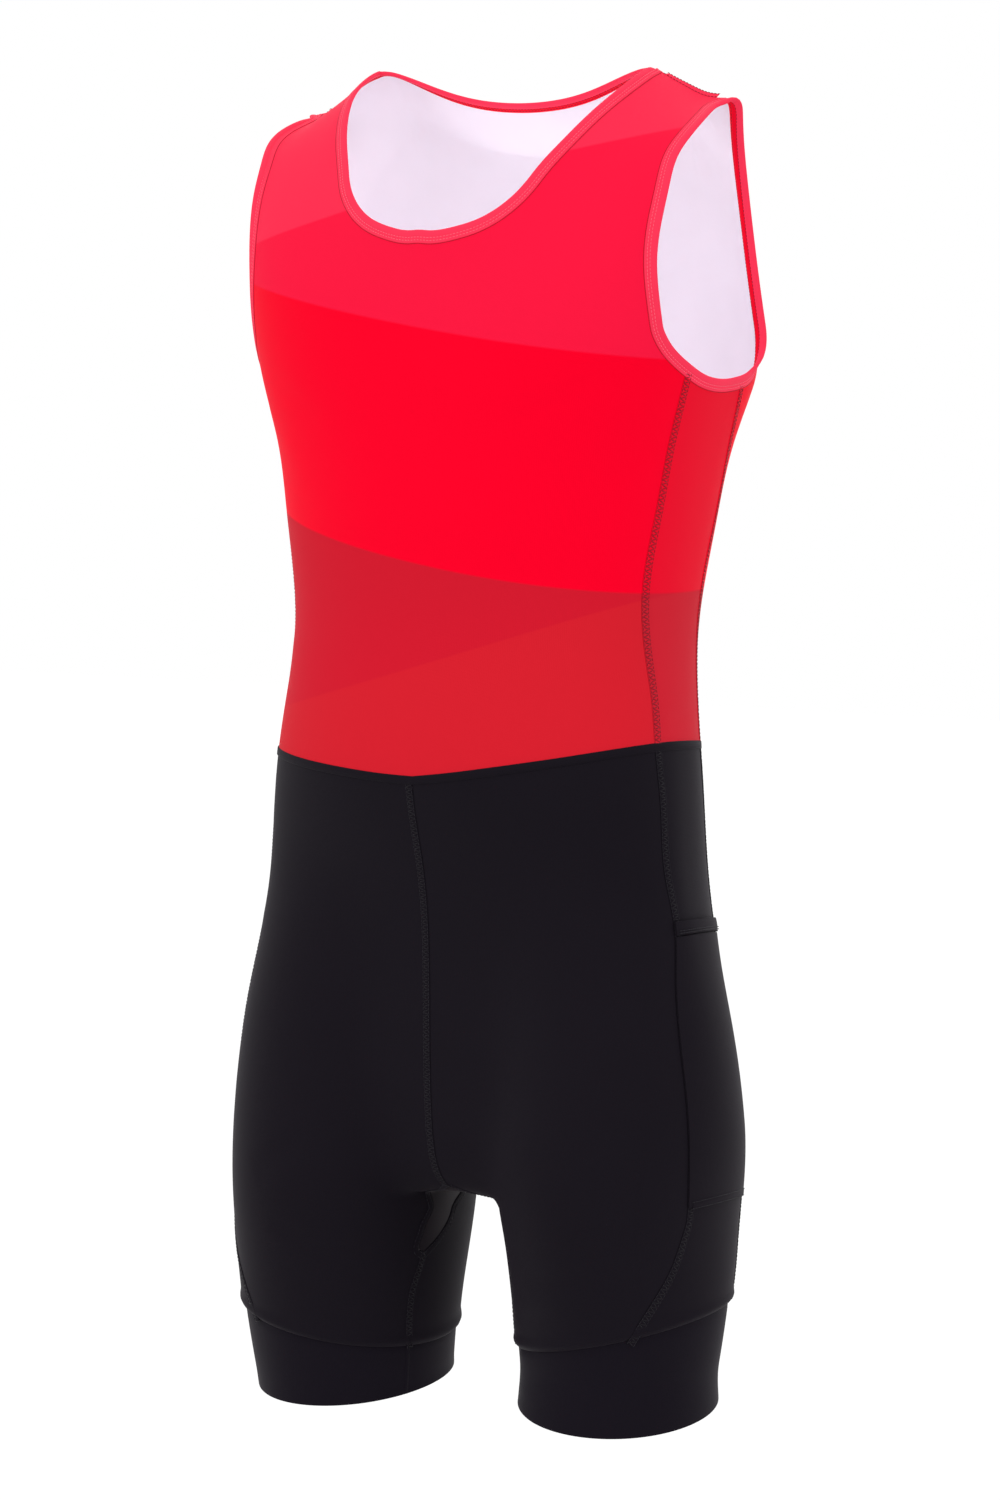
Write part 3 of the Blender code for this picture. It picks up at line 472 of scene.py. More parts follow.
def through(table, first=None, last=None, count=200):
    """Smooth curve through a seam table's (angle, level) rows, with optional ends."""
    rows = np.concatenate([r for r in (first, table.rows, last) if r is not None])
    length = lengths(rows)
    place = np.linspace(0, length[-1], count)
    return np.stack([curve(place, length, column) for column in rows.T], -1)


def waist_seam(angle, side):
    """Height of the waist seam at an angle, with its tilt added."""
    height = WAIST_SEAM.at(np.abs(angle), "height")
    x = torso(np.radians(np.abs(angle)), np.full(np.shape(angle), WAIST))[..., 0]
    return height + WAIST_TILT * side * x


def swinging(line, side, angle):
    """Height of a cuff line: mean, swing and the angle where it is highest."""
    mean, swing, peak = line[side]
    return mean + swing * np.cos(np.radians(angle - peak))


def waist_middle(front, side):
    """Height of the waist seam in the middle of the front or back."""
    return float(waist_seam(0.0 if front else 180.0, side))


def cuff_height(angle, side):
    """Height of the seam between shorts and cuff."""
    return swinging(CUFF_SEAM, side, angle)


def middle_seam(front, top):
    """Centre seam of the shorts, where the body meets the plane x = 0, from the top down
    to the gusset."""
    height = np.linspace(top, GUSSET_TIP_Z, MIDDLE_POINTS)
    reach = -FORE_AND_AFT if front else FORE_AND_AFT
    cy = axis_y(height)

    def place(t):
        return 0 * height, cy + t * reach, height

    y = cy + crossing(place, 0 * height, 0 * height + 1) * reach
    angle = np.degrees(np.arctan2(-axis_x(height), -(y - cy)))
    return np.stack([angle if front else angle % 360, height], -1)


def fork(fan, y, side):
    """Point of the body seen from the fork axis, at a fan angle."""
    sin, cos = np.sin(np.radians(fan)), np.cos(np.radians(fan))

    def place(t):
        reach = FORK_RAY * (1 - t)
        return reach * sin * side, y, FORK_Z + reach * cos

    x, y, z = place(crossing(place, np.zeros(fan.shape), np.ones(fan.shape)))
    return np.stack([x, y, z], -1)


def gusset_edge(front, side):
    """The gusset's front or back edge, as points of the form."""
    return fork(FANS, gusset_y(front, FANS, side), side)


def to_form(points, side):
    """(angle, level) of points that lie on the form below the waist."""
    dx = side * points[:, 0] - axis_x(points[:, 2])
    dy = points[:, 1] - axis_y(points[:, 2])
    return np.stack([np.degrees(np.arctan2(dx, -dy)), points[:, 2]], -1)


def gusset_y(front, fan, side):
    """Edge of the gusset; at fan 0 it meets the centre seam exactly."""
    tip = middle_seam(front, WAIST)[-1]
    table = GUSSET.column("front_y" if front else "back_y").copy()
    table[0] = form(tip[0], tip[1], side)[1]
    return curve(np.abs(fan), GUSSET.column("fan"), table)


def resample(seam, count, side):
    """The seam again, as `count` points evenly spaced along the cloth."""
    length = lengths(form(*seam.T, side))
    return read_at(np.linspace(0, length[-1], count), length, seam)


def patch(left, right, bottom, top):
    """Coons patch in (angle, level): blends its four edges."""
    s = np.linspace(0, 1, len(left))[:, None, None]
    w = np.linspace(0, 1, len(bottom))[None, :, None]
    sides = (1 - w) * left[:, None] + w * right[:, None]
    ends = (1 - s) * bottom[None] + s * top[None]
    corners = ((1 - s) * ((1 - w) * left[0] + w * right[0])
               + s * ((1 - w) * left[-1] + w * right[-1]))
    return sides + ends - corners


def line(start, end, count, seam=None, side=1):
    """Edge between two seam ends; seam(angle, side) bends it along a level line."""
    edge = np.linspace(start, end, count)
    if seam is not None:
        level = seam(edge[:, 0], side)
        slack = np.linspace(start[1] - level[0], end[1] - level[-1], count)
        edge[:, 1] = level + slack
    return edge


# %% [markdown]
# ## How finely the cloth is meshed
# The frame's solids use a row every 30 mm or so. Here each of their rows and columns is
# cut into DETAIL smaller ones, so that outlines and creases come out smooth.

# %% Rows and columns
DETAIL = 6
SEAM_ROWS, ARM_ROWS = 10 * DETAIL, 12 * DETAIL
NECK_ROWS = {True: 12 * DETAIL, False: 5 * DETAIL}
CHEST_LINE = -212.0
CENTRE_ROWS, INSEAM_ROWS = 11 * DETAIL, 5 * DETAIL
FAN_MARKS = [0, 28, 56, 81, 102, 121, GUSSET_END]
FANS = np.interp(np.arange(6 * DETAIL + 1), np.arange(7) * DETAIL, FAN_MARKS)
POCKET_ROWS = (5 * DETAIL, DETAIL, 8 * DETAIL, 8 * DETAIL)       # over, band, bag, under
BODICE_COLUMNS, SHORTS_COLUMNS = 7 * DETAIL, 8 * DETAIL
SIDE_COLUMNS, GUSSET_COLUMNS = 4 * DETAIL, 2 * DETAIL
print("front panel:", 2 * BODICE_COLUMNS, "columns,", SEAM_ROWS + ARM_ROWS, "rows")

# %% [markdown]
# A panel is bounded by four seams. Its inner points are blended from these edges in
# (angle, level), a Coons patch, so that neighbours follow one and the same seam.

# %% Armhole and neck edges
def armhole_edge(which):
    """Part of the armhole seam: on the front panel, the side panel or the back panel."""
    seam = through(ARMHOLE, [(ridge_angle(ARM_SEAM_X, True), RIDGE_TOP)],
                   [(ridge_angle(ARM_SEAM_X, False), RIDGE_TOP)], 600)
    cuts, ends = [], []
    for name in ("front_angle", "back_angle"):
        past = seam[:, 0] - SIDE_SEAMS.at(seam[:, 1], name)
        i = np.argmax((seam[:, 1] < UNDERARM) & (past > 0))
        share = past[i - 1] / (past[i - 1] - past[i])
        cuts.append(i)
        ends.append(seam[i - 1] * (1 - share) + seam[i] * share)
    parts = {"front": np.concatenate([seam[:cuts[0]], [ends[0]]]),
             "side": np.concatenate([[ends[0]], seam[cuts[0]:cuts[1]], [ends[1]]]),
             "back": np.concatenate([[ends[1]], seam[cuts[1]:]])}
    return parts[which]


def neck_edge(front):
    """Half of the neck seam, from the middle to the shoulder line; its first rows are
    mirrored, so that the two halves run into each other smoothly."""
    table = NECK_FRONT if front else NECK_BACK
    middle = table.rows[0]
    mirrored = [(2 * middle[0] - angle, level) for angle, level in table.rows[3:0:-1]]
    seam = through(table, mirrored, [(ridge_angle(NECK_SEAM_X, front), RIDGE_TOP)])
    beyond = seam[:, 0] > middle[0] if front else seam[:, 0] < middle[0]
    return np.concatenate([[middle], seam[beyond]])


def settle(height, line, rounds):
    """Height where two seams cross: height = line(height), taken again and again."""
    for _ in range(rounds):
        height = float(line(height))
    return height


def waist_at(which, side):
    """Where a side seam crosses the waist seam."""
    return settle(WAIST, lambda z: waist_seam(SIDE_SEAMS.at(z, which), side), 6)


def cuff_at(which, side):
    """Where a side seam reaches the cuff."""
    mean = CUFF_SEAM[side][0]
    return settle(mean, lambda z: cuff_height(SIDE_SEAMS.at(z, which), side), 12)


# %% [markdown]
# The side seams run from the armhole over the waist to the cuff. The shorts have a row
# of the grid on each edge of the pocket, so that it can lie on the panel's own points.

# %% Side edges
def bodice_edge(which, side, top):
    """Side seam of the bodice, from the waist up to the armhole seam's end."""
    height = np.linspace(waist_at(which, side), top[1], SEAM_ROWS + 1)
    edge = np.stack([SIDE_SEAMS.at(height, which), height], -1)
    edge[-1] = top
    return edge


def shorts_edge(which, side):
    """Side seam of the shorts, with rows along the pocket's band and bottom."""
    drop = POCKET_SLANT if which == "back_angle" else 0.0
    marks = [waist_at(which, side), POCKET_TOP - drop, POCKET_TOP - POCKET_BAND - drop,
             POCKET_END - drop, cuff_at(which, side)]
    height = np.interp(np.arange(sum(POCKET_ROWS) + 1), np.cumsum((0, *POCKET_ROWS)), marks)
    return np.stack([SIDE_SEAMS.at(height, which), height], -1)


# %% Panels of the bodice
def middle_rows(front):
    """Rows of a bodice panel that cross its middle line."""
    return SEAM_ROWS + ARM_ROWS - NECK_ROWS[front]


def bodice_half(front, side):
    """Half of the front or back panel, from the middle to the side and armhole."""
    middle_angle = 0.0 if front else 180.0
    which = "front_angle" if front else "back_angle"
    neck = resample(neck_edge(front), NECK_ROWS[front] + 1, side)
    arm = armhole_edge("front")[::-1] if front else armhole_edge("back")
    arm = resample(arm, ARM_ROWS + 1, side)
    marks = [waist_middle(front, side), CHEST_LINE, neck[0, 1]]
    places = [0, SEAM_ROWS, middle_rows(front)]
    if front:
        marks, places = marks[::2], places[::2]
    height = np.interp(np.arange(places[-1] + 1), places, marks)
    middle = np.stack([np.full(len(height), middle_angle), height], -1)
    inner = np.concatenate([middle, neck[1:]])
    outer = np.concatenate([bodice_edge(which, side, arm[0]), arm[1:]])
    bottom = line(inner[0], outer[0], BODICE_COLUMNS + 1, waist_seam, side)
    top = line(inner[-1], outer[-1], BODICE_COLUMNS + 1)
    return patch(inner, outer, bottom, top)


def bodice_side(side):
    """Side panel, from the waist seam up to the armhole."""
    top = resample(armhole_edge("side"), SIDE_COLUMNS + 1, side)
    left = bodice_edge("front_angle", side, top[0])
    right = bodice_edge("back_angle", side, top[-1])
    bottom = line(left[0], right[0], SIDE_COLUMNS + 1, waist_seam, side)
    return patch(left, right, bottom, top)


# %% Panels of the shorts
def inseam(start, side):
    """From the end of the gusset down to the cuff."""
    mean, swing, _ = CUFF_SEAM[side]
    bottom = settle(mean - swing, lambda z: cuff_height(INSEAM.at(z, "angle"), side), 8)
    height = np.linspace(start[1], bottom, INSEAM_ROWS + 1)
    angle = INSEAM.at(height, "angle")
    angle += (start[0] - angle[0]) * (1 - ease((start[1] - height) / INSEAM_BLEND))
    return np.stack([angle, height], -1)


def shorts_panel(front, side):
    """Front or back panel of one leg: centre seam, gusset edge and inseam, to the side."""
    turn = 0.0 if front else 360.0
    middle = middle_seam(front, waist_middle(front, side))
    middle = resample(middle, CENTRE_ROWS + 1, side)
    edge = to_form(gusset_edge(front, side), side)
    leg = inseam(edge[-1], side)
    lower = np.concatenate([edge[1:], leg[1:]])
    lower[:, 0] += np.where(lower[:, 0] < 0, turn, 0)
    inner = np.concatenate([middle, lower])
    outer = shorts_edge("front_angle" if front else "back_angle", side)
    upper = line(inner[0], outer[0], SHORTS_COLUMNS + 1, waist_seam, side)
    bottom = line(inner[-1], outer[-1], SHORTS_COLUMNS + 1, cuff_height, side)
    return patch(inner, outer, upper, bottom)


def shorts_side(side):
    """Side panel of one leg, from the waist seam down to the cuff."""
    left, right = shorts_edge("front_angle", side), shorts_edge("back_angle", side)
    upper = line(left[0], right[0], SIDE_COLUMNS + 1, waist_seam, side)
    bottom = line(left[-1], right[-1], SIDE_COLUMNS + 1, cuff_height, side)
    return patch(left, right, upper, bottom)


# %% [markdown]
# ## From arrays to meshes
# Every new piece is worked out as whole arrays and handed to Blender at once. A cloth
# is a closed wall: its outer face, its inner face, and a strip round every open edge.

# %% Points, normals and faces of a grid
def on_form(domain, side):
    """Points and outward normals for an array of (angle, level)."""
    angle, level = domain[..., 0], domain[..., 1]
    points = form(angle, level, side)
    return points, normals(angle, level, side, points)


def numbered(points):
    """The number of each point in a grid of points."""
    return np.arange(points[..., 0].size).reshape(points.shape[:-1])


def quads_of(grid):
    """Faces between neighbouring rows and columns of an index grid, or of a stack of them."""
    corners = grid[..., :-1, :-1], grid[..., :-1, 1:], grid[..., 1:, 1:], grid[..., 1:, :-1]
    return np.stack(corners, -1).reshape(-1, 4)


# %% [markdown]
# One builder makes every mesh. It turns the faces outward, which it knows from the sign
# of the volume they enclose, and gives the new piece to the frame's one body, `root`.

# %% Mesh builder
NO_THIRDS = np.zeros((0, 3), int)
SMOOTH_UP_TO = math.radians(50)        # edges bent by more than this stay sharp


def volume_of(points, faces):
    """Six times the volume under faces of three or four corners, as a fan of triangles."""
    corners = [points[faces[:, i]] for i in range(faces.shape[1])]
    return sum((np.cross(corners[0], b) * c).sum() for b, c in zip(corners[1:], corners[2:]))


def mesh_object(name, points, quads, finishes, which=None, uv=None, thirds=NO_THIRDS):
    """Object from arrays in millimetres: quads, then `thirds`, which are triangles;
    `which` numbers the finish of each face."""
    if volume_of(points, quads) + volume_of(points, thirds) < 0:
        quads, thirds = quads[:, ::-1], thirds[:, ::-1]
    corners = np.concatenate([quads.ravel(), thirds.ravel()])
    sizes = np.repeat([4, 3], [len(quads), len(thirds)])
    mesh = bpy.data.meshes.new(name)
    mesh.vertices.add(len(points))
    mesh.vertices.foreach_set("co", (points * MM).ravel())
    mesh.loops.add(len(corners))
    mesh.loops.foreach_set("vertex_index", corners)
    mesh.polygons.add(len(sizes))
    mesh.polygons.foreach_set("loop_start", sizes.cumsum() - sizes)
    mesh.polygons.foreach_set("loop_total", sizes)
    for finish in finishes:
        mesh.materials.append(finish)
    if which is not None:
        mesh.polygons.foreach_set("material_index", which)
    mesh.update(calc_edges=True)
    if uv is not None:
        layer = mesh.uv_layers.new(name="cloth")
        layer.data.foreach_set("uv", (uv[corners] * MM).ravel())
    mesh.shade_smooth()
    if not len(thirds):
        mesh.set_sharp_from_angle(angle=SMOOTH_UP_TO)
    piece = placed(name, mesh)
    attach(piece, "root")
    return piece


# %% Walls of cloth
def wall(outer, inner, quads):
    """Both faces of the cloth and a strip along every open edge; also each face's kind."""
    count = len(outer)
    start, end = quads.ravel(), np.roll(quads, -1, 1).ravel()
    is_open = ~np.isin(start * count + end, end * count + start)
    start, end = start[is_open], end[is_open]
    strip = np.stack([end, start, start + count, end + count], -1)
    faces = np.concatenate([quads, quads[:, ::-1] + count, strip])
    kind = np.repeat([0, 1, 0], [len(quads), len(quads), len(strip)])
    return np.concatenate([outer, inner]), faces, kind


def cloth(name, points, out, quads, uv, finishes, top=0.0, thickness=1.2):
    """Cloth whose outer face lies `top` above the form, with an outside and an inside finish."""
    used, corners = np.unique(quads, return_inverse=True)
    quads = corners.reshape(-1, 4)
    top = np.broadcast_to(top, points.shape[:-1])
    points, out, uv, top = (array.reshape(-1, array.shape[-1])[used]
                            for array in (points, out, uv, top[..., None]))
    solid, faces, kind = wall(points + top * out, points + (top - thickness) * out, quads)
    piece = mesh_object(name, solid, faces, finishes, kind, np.concatenate([uv, uv]))
    print(f"{name}: {len(faces)} faces")
    return piece


# %% [markdown]
# ## Flat sizes
# The size each cloth was cut to is worked out and printed. The knit is worn stretched by about
# a twelfth across the body and hardly at all along it, so the cut is narrower than the
# form by that much and as long as it is.

# %% Measuring a cut and printing it
STRETCH = 1.08                 # worn width over cut width
LEAST_FILL = 0.31              # a slanting piece fills at least this much of its own box


def surface_uv(points):
    """Way across and way along the cloth, in millimetres, at each point of a grid."""
    across = np.linalg.norm(np.diff(points, axis=1), axis=-1).cumsum(1)
    along = np.linalg.norm(np.diff(points, axis=0), axis=-1).cumsum(0)
    across = np.pad(across, ((0, 0), (1, 0)))
    along = np.pad(along, ((1, 0), (0, 0)))
    return np.stack([across, along], -1)


def grid_area(points):
    """Area of a grid of points: half the cross product of each quad's diagonals."""
    first = points[1:, 1:] - points[:-1, :-1]
    second = points[1:, :-1] - points[:-1, 1:]
    return np.linalg.norm(np.cross(first, second), axis=-1).sum() / 2


def declare_cut(grids):
    uvs = [surface_uv(grid) for grid in grids]
    width = sum(uv[..., 0].max() for uv in uvs) / STRETCH * MM
    length = max(uv[..., 1].max() for uv in uvs) * MM
    area = sum(grid_area(grid) for grid in grids) / STRETCH * MM**2
    area = min(max(area, LEAST_FILL * width * length), width * length)
    print(f"  cut {width * 1000:.0f} x {length * 1000:.0f} mm, {area * 1e4:.0f} cm2")


# %% [markdown]
# ## Creases
# The suit fits closely and has hardly a wrinkle. What there is runs in soft troughs and
# ridges: drag lines below the armholes, a few ripples at the waist, folds that fan out
# from the crotch. Each is placed between two places on the form, and has its own
# width and depth; similar ones lie on the hidden side.

# %% Table of creases
CREASES = Table(
    "side angle_a level_a angle_b level_b width depth",
    (1, 55, -190, 30, -232, 9.0, -0.7), (1, 62, -208, 42, -262, 11.0, 0.6),
    (1, 66, -232, 52, -300, 10.0, -0.5), (-1, 54, -196, 36, -230, 9.0, -0.7),
    (-1, 62, -214, 44, -268, 12.0, 0.6), (1, 60, -404, 20, -418, 7.0, -0.45),
    (1, 74, -386, 38, -392, 8.0, 0.45), (1, 100, -420, 84, -428, 6.0, -0.5),
    (-1, 72, -408, 30, -420, 7.0, -0.45), (-1, 76, -384, 48, -390, 8.0, 0.4),
    (1, 20, -740, -8, -706, 9.0, -0.9), (1, -22, -800, 14, -786, 8.0, -1.1),
    (1, -34, -822, -2, -806, 7.0, 0.6), (-1, 16, -744, -10, -712, 9.0, -0.9),
    (-1, -24, -796, 6, -776, 8.0, -0.8), (1, 150, -402, 110, -410, 8.0, -0.6),
    (-1, 152, -396, 116, -408, 8.0, -0.6), (1, 176, -424, 132, -430, 7.0, -0.5),
    (1, 128, -214, 150, -250, 10.0, -0.7), (-1, 126, -212, 148, -252, 10.0, -0.7),
    (1, 196, -742, 168, -716, 9.0, -0.9), (-1, 198, -742, 166, -712, 9.0, -0.9),
    (1, 214, -792, 186, -776, 8.0, 0.7), (-1, 214, -790, 184, -778, 8.0, 0.7),
)


def creases(points, side):
    """Height added to the form: for each crease, depth times a bell across its line and
    a hump along it that is zero at both ends."""
    height = np.zeros(points.shape[:-1])
    for _, *ends, width, depth in CREASES.rows[CREASES.column("side") == side]:
        start, end = form(np.array(ends[::2]), np.array(ends[1::2]), side)
        run = end - start
        t = np.clip(((points - start) @ run) / (run @ run), 0, 1)
        away = np.linalg.norm(points - start - t[..., None] * run, axis=-1)
        hump = np.sqrt(np.maximum(4 * t * (1 - t), 0))
        height += depth * np.exp(-(away / width)**2) * hump
    return height


print("creases:", len(CREASES.rows))

# %% [markdown]
# ## Colours and the node helper
# Colours are written as sRGB hex and turned to linear by one function. One more function
# adds a node with its settings and links.

# %% Colour and node helpers
def linear(code):
    """sRGB hex to linear: c / 12.92 near black, ((c + 0.055) / 1.055) ** 2.4 above."""
    value = np.array([int(code[i:i + 2], 16) for i in (0, 2, 4)]) / 255
    value = np.where(value <= 0.04045, value / 12.92, ((value + 0.055) / 1.055)**2.4)
    return (*value.tolist(), 1.0)


def node(tree, kind, links=None, values=None, **settings):
    """Add a node; `values` fills its sockets, `links` joins them to other nodes' outputs."""
    made = tree.nodes.new(kind)
    for key, value in settings.items():
        setattr(made, key, value)
    for key, value in (values or {}).items():
        made.inputs[key].default_value = value
    for key, source in (links or {}).items():
        tree.links.new(source, made.inputs[key])
    return made


def sum_of(tree, operation, first, second):
    """A Math node on two inputs, each a number or another node's output."""
    made = tree.nodes.new("ShaderNodeMath")
    made.operation = operation
    for i, term in enumerate((first, second)):
        if isinstance(term, (int, float)):
            made.inputs[i].default_value = term
        else:
            tree.links.new(term, made.inputs[i])
    return made.outputs[0]


def new_finish(name):
    """A new material, with its node tree and its shader."""
    finish = bpy.data.materials.new(name)
    finish.use_nodes = True
    return finish, finish.node_tree, finish.node_tree.nodes["Principled BSDF"]


# %% [markdown]
# ## The knit
# A tricot or interlock jersey shows fine upright columns of stitches, the wales, and
# finer rows across them. The real ones are about 0.45 mm apart; they are drawn 1.2 mm
# apart so that they still show, and only as a faint relief.

# %% Relief of a knitted face
WALE, COURSE = 1.2, 0.9        # drawn spacing, millimetres
ONE_WAVE = 0.314               # scale at which a wave texture repeats once per unit
YARN, YARN_SHARE = 3.0, 0.8    # length of the yarn's unevenness, and its part in the relief
KNIT_DEPTH = 0.12


def knit_relief(tree, strength):
    """Bump from two crossed waves along the cloth's own UV, with a little uneven yarn."""
    place = node(tree, "ShaderNodeUVMap", uv_map="cloth").outputs["UV"]
    wales = node(tree, "ShaderNodeTexWave", {"Vector": place},
                 {"Scale": ONE_WAVE / (WALE * MM), "Distortion": 0.0}, bands_direction="X")
    rows = node(tree, "ShaderNodeTexWave", {"Vector": place},
                {"Scale": ONE_WAVE / (COURSE * MM), "Distortion": 0.0}, bands_direction="Y")
    yarn = node(tree, "ShaderNodeTexNoise", {"Vector": place},
                {"Scale": 1 / (YARN * MM), "Detail": 3.0, "Roughness": 0.6})
    knit = sum_of(tree, "MULTIPLY", wales.outputs["Fac"], rows.outputs["Fac"])
    uneven = sum_of(tree, "MULTIPLY", yarn.outputs["Fac"], YARN_SHARE)
    height = sum_of(tree, "ADD", knit, uneven)
    return node(tree, "ShaderNodeBump", {"Height": height},
                {"Strength": strength, "Distance": KNIT_DEPTH * MM}).outputs["Normal"]


# %% [markdown]
# ## Printed red jersey
# Polyester and elastane, printed by dye sublimation: smooth, soft-matt, with a slight
# sheen. The print lays broad tones of red across the body, each bounded by a shallow
# arc. The two highest tones, on the upper chest and over the shoulders, are print with a
# painted highlight in them: they are lighter where the light falls from above. Every arc is a
# parabola: height = level + slope x + bend x squared.

# %% Tones of the print, the upper two lightened by painted highlight, and their arcs
# The upper and shoulder tones are print with a painted highlight: lighter where the upper chest
# and shoulders face the light from above and catch its sheen.
TONES = {"shoulder": "FF2E50", "upper": "FD1840", "bright": "FF0028",
         "dark": "D41A2E", "low": "D8202E"}
ARCS = Table(
    "order level slope bend",
    (0, -390.0, 0.300, 0.00020),     # low tone below, dark tone above
    (1, -322.0, -0.180, 0.00032),    # dark below, bright above
    # The upper two arcs bound the tones that carry the painted highlight.
    (2, -166.0, -0.165, 0.00020),    # bright below, upper tone above
    (3, -73.0, 0.240, 0.00000),      # upper tone below, shoulder tone above
)
BLUR = 0.8                     # softness of each boundary, millimetres


def above_arc(tree, x, z, row):
    """0 below the arc and 1 above it."""
    level, slope_x, bend = row[1:]
    bent = sum_of(tree, "MULTIPLY", sum_of(tree, "MULTIPLY", x, x), bend / MM)
    arc = sum_of(tree, "ADD", sum_of(tree, "MULTIPLY", x, slope_x), bent)
    gap = sum_of(tree, "SUBTRACT", sum_of(tree, "SUBTRACT", z, level * MM), arc)
    return node(tree, "ShaderNodeMapRange", {"Value": gap},
                {"From Min": -BLUR * MM, "From Max": BLUR * MM}).outputs["Result"]


def mixed(tree, factor, first, second):
    """Mix two colours, each a hex code or an output."""
    mix = tree.nodes.new("ShaderNodeMix")
    mix.data_type = "RGBA"
    tree.links.new(factor, mix.inputs["Factor"])
    for socket, colour in ((mix.inputs[6], first), (mix.inputs[7], second)):
        if isinstance(colour, str):
            socket.default_value = linear(colour)
        else:
            tree.links.new(colour, socket)
    return mix.outputs[2]


# %% The printed jersey
def tuned(shader, roughness, sheen, sheen_roughness=0.5, tint="FFFFFF", specular=0.08):
    """Constants of a cloth, set on the shader's own sockets."""
    for socket, value in (("Specular Tint", linear(tint)), ("Roughness", roughness),
                          ("Sheen Weight", sheen), ("Sheen Roughness", sheen_roughness),
                          ("Sheen Tint", linear(tint)), ("Specular IOR Level", specular)):
        shader.inputs[socket].default_value = value


def printed_jersey(name, tones):
    """From the lowest tone up, each arc mixes in the tone above it."""
    finish, tree, shader = new_finish(name)
    place = node(tree, "ShaderNodeTexCoord").outputs["Object"]
    split = node(tree, "ShaderNodeSeparateXYZ", {"Vector": place})
    x, z = split.outputs["X"], split.outputs["Z"]
    colour = tones["low"]
    for row, above in zip(ARCS.rows, ("dark", "bright", "upper", "shoulder")):
        colour = mixed(tree, above_arc(tree, x, z, row), colour, tones[above])
    tree.links.new(colour, shader.inputs["Base Color"])
    tree.links.new(knit_relief(tree, 0.35), shader.inputs["Normal"])
    tuned(shader, 0.62, 0.035, 0.4, "FF8090", 0.06)
    return finish


red_print = printed_jersey("sublimation_print_with_painted_highlight", TONES)
SIDE_TONES = dict(TONES, bright="F00E2C", dark="CE1C30", low="D02232")
red_side = printed_jersey("printed_side_jersey_with_painted_highlight", SIDE_TONES)

# %% [markdown]
# ## Unprinted inside, binding, black jersey and threads
# Sublimation ink stays on the outer face, so the inside is the white of the yarn. The
# binding is dyed through. The shorts are a heavier black jersey, matt in front and paler
# where its fibres catch the light at a glancing angle: a sheen layer gives that, with
# little mirror reflection under it.

# %% Plain cloths
CLOUD, CLOUD_TONES = 60.0, (0.94, 1.06)        # slow change of tone, and how wide it is


def plain_jersey(name, code, roughness, sheen, relief, tint="FFFFFF", specular=0.08):
    """One colour, times a slow cloud of slightly darker and lighter tones."""
    finish, tree, shader = new_finish(name)
    place = node(tree, "ShaderNodeTexCoord").outputs["Object"]
    cloud = node(tree, "ShaderNodeTexNoise", {"Vector": place},
                 {"Scale": 1 / (CLOUD * MM), "Detail": 2.0}).outputs["Fac"]
    ramp = node(tree, "ShaderNodeMapRange", {"Value": cloud},
                {"To Min": CLOUD_TONES[0], "To Max": CLOUD_TONES[1]})
    tone = node(tree, "ShaderNodeVectorMath", {"Scale": ramp.outputs["Result"]},
                {0: linear(code)[:3]}, operation="SCALE")
    tree.links.new(tone.outputs["Vector"], shader.inputs["Base Color"])
    tree.links.new(knit_relief(tree, relief), shader.inputs["Normal"])
    tuned(shader, roughness, sheen, 0.45, tint, specular)
    return finish


# Name, colour, roughness, sheen, relief of the knit, tint of the sheen, mirror share.
white_inside = plain_jersey("unprinted_yarn_inside", "F4EEF8", 0.75, 0.05, 0.25)
binding_red = plain_jersey("dyed_binding_jersey", "FF3858", 0.60, 0.05, 0.35, "FF9098")
binding_deep = plain_jersey("dyed_binding_seam_side", "F00A2A", 0.60, 0.03, 0.35, "FF8090")
black_jersey = plain_jersey("matt_black_jersey", "17141A", 0.62, 0.05, 0.40, "B8A8B8", 0.06)
cuff_jersey = plain_jersey("double_black_grip_band", "16131A", 0.60, 0.05, 0.35, "B8A8B8", 0.06)
gusset_jersey = plain_jersey("smooth_black_gusset_jersey", "1A161B", 0.45, 0.05, 0.20,
                             "C8B0BC", 0.14)


# %% [markdown]
# Sewing thread is spun from polyester and dyed to match. Here it is a little shinier than
# the cloth, so that single stitches catch the light.

# %% Sewing threads
def thread(name, code, roughness=0.55):
    """Spun polyester thread, a twisted and slightly shiny yarn; its fuzz is 0.8 mm noise."""
    finish, tree, shader = new_finish(name)
    place = node(tree, "ShaderNodeTexCoord").outputs["Object"]
    fuzz = node(tree, "ShaderNodeTexNoise", {"Vector": place}, {"Scale": 1 / (0.8 * MM)})
    bump = node(tree, "ShaderNodeBump", {"Height": fuzz.outputs["Fac"]},
                {"Strength": 0.5, "Distance": 0.1 * MM})
    tree.links.new(bump.outputs["Normal"], shader.inputs["Normal"])
    shader.inputs["Base Color"].default_value = linear(code)
    tuned(shader, roughness, 0.05, specular=0.15)
    return finish


maroon_thread = thread("maroon_polyester_thread", "7A0C20")
# The dark red thread is partly painted shadow: it stands for the shade in the groove where a
# binding meets the panels.
joint_shadow_thread = thread("dark_red_thread_for_joint_shadow", "C00A2A")
coral_thread = thread("coral_polyester_thread", "FF7A90")
black_thread = thread("black_polyester_thread", "17141A")
grey_black_thread = thread("sheen_black_thread", "1E1B22", 0.5)
print("finishes:", len(bpy.data.materials))

# %% [markdown]
# ## The bodice
# Front and back are each cut in one piece, but the grid is worked out for either half in
# turn, because the seam tables are for one half. The two halves share their middle column
# up to the neck. Relief is added along the normals.

# %% Front, back and side panels of the bodice
JERSEY = 1.2                   # wall of knitted cloth, twice as thick as the real one
SEAM_GAP = 0.3
TUCK, TUCK_ROWS = 1.0, 4       # at the shoulders the panels reach into the bindings
SIDES_OF_BODY = (("left", 1), ("right", -1))


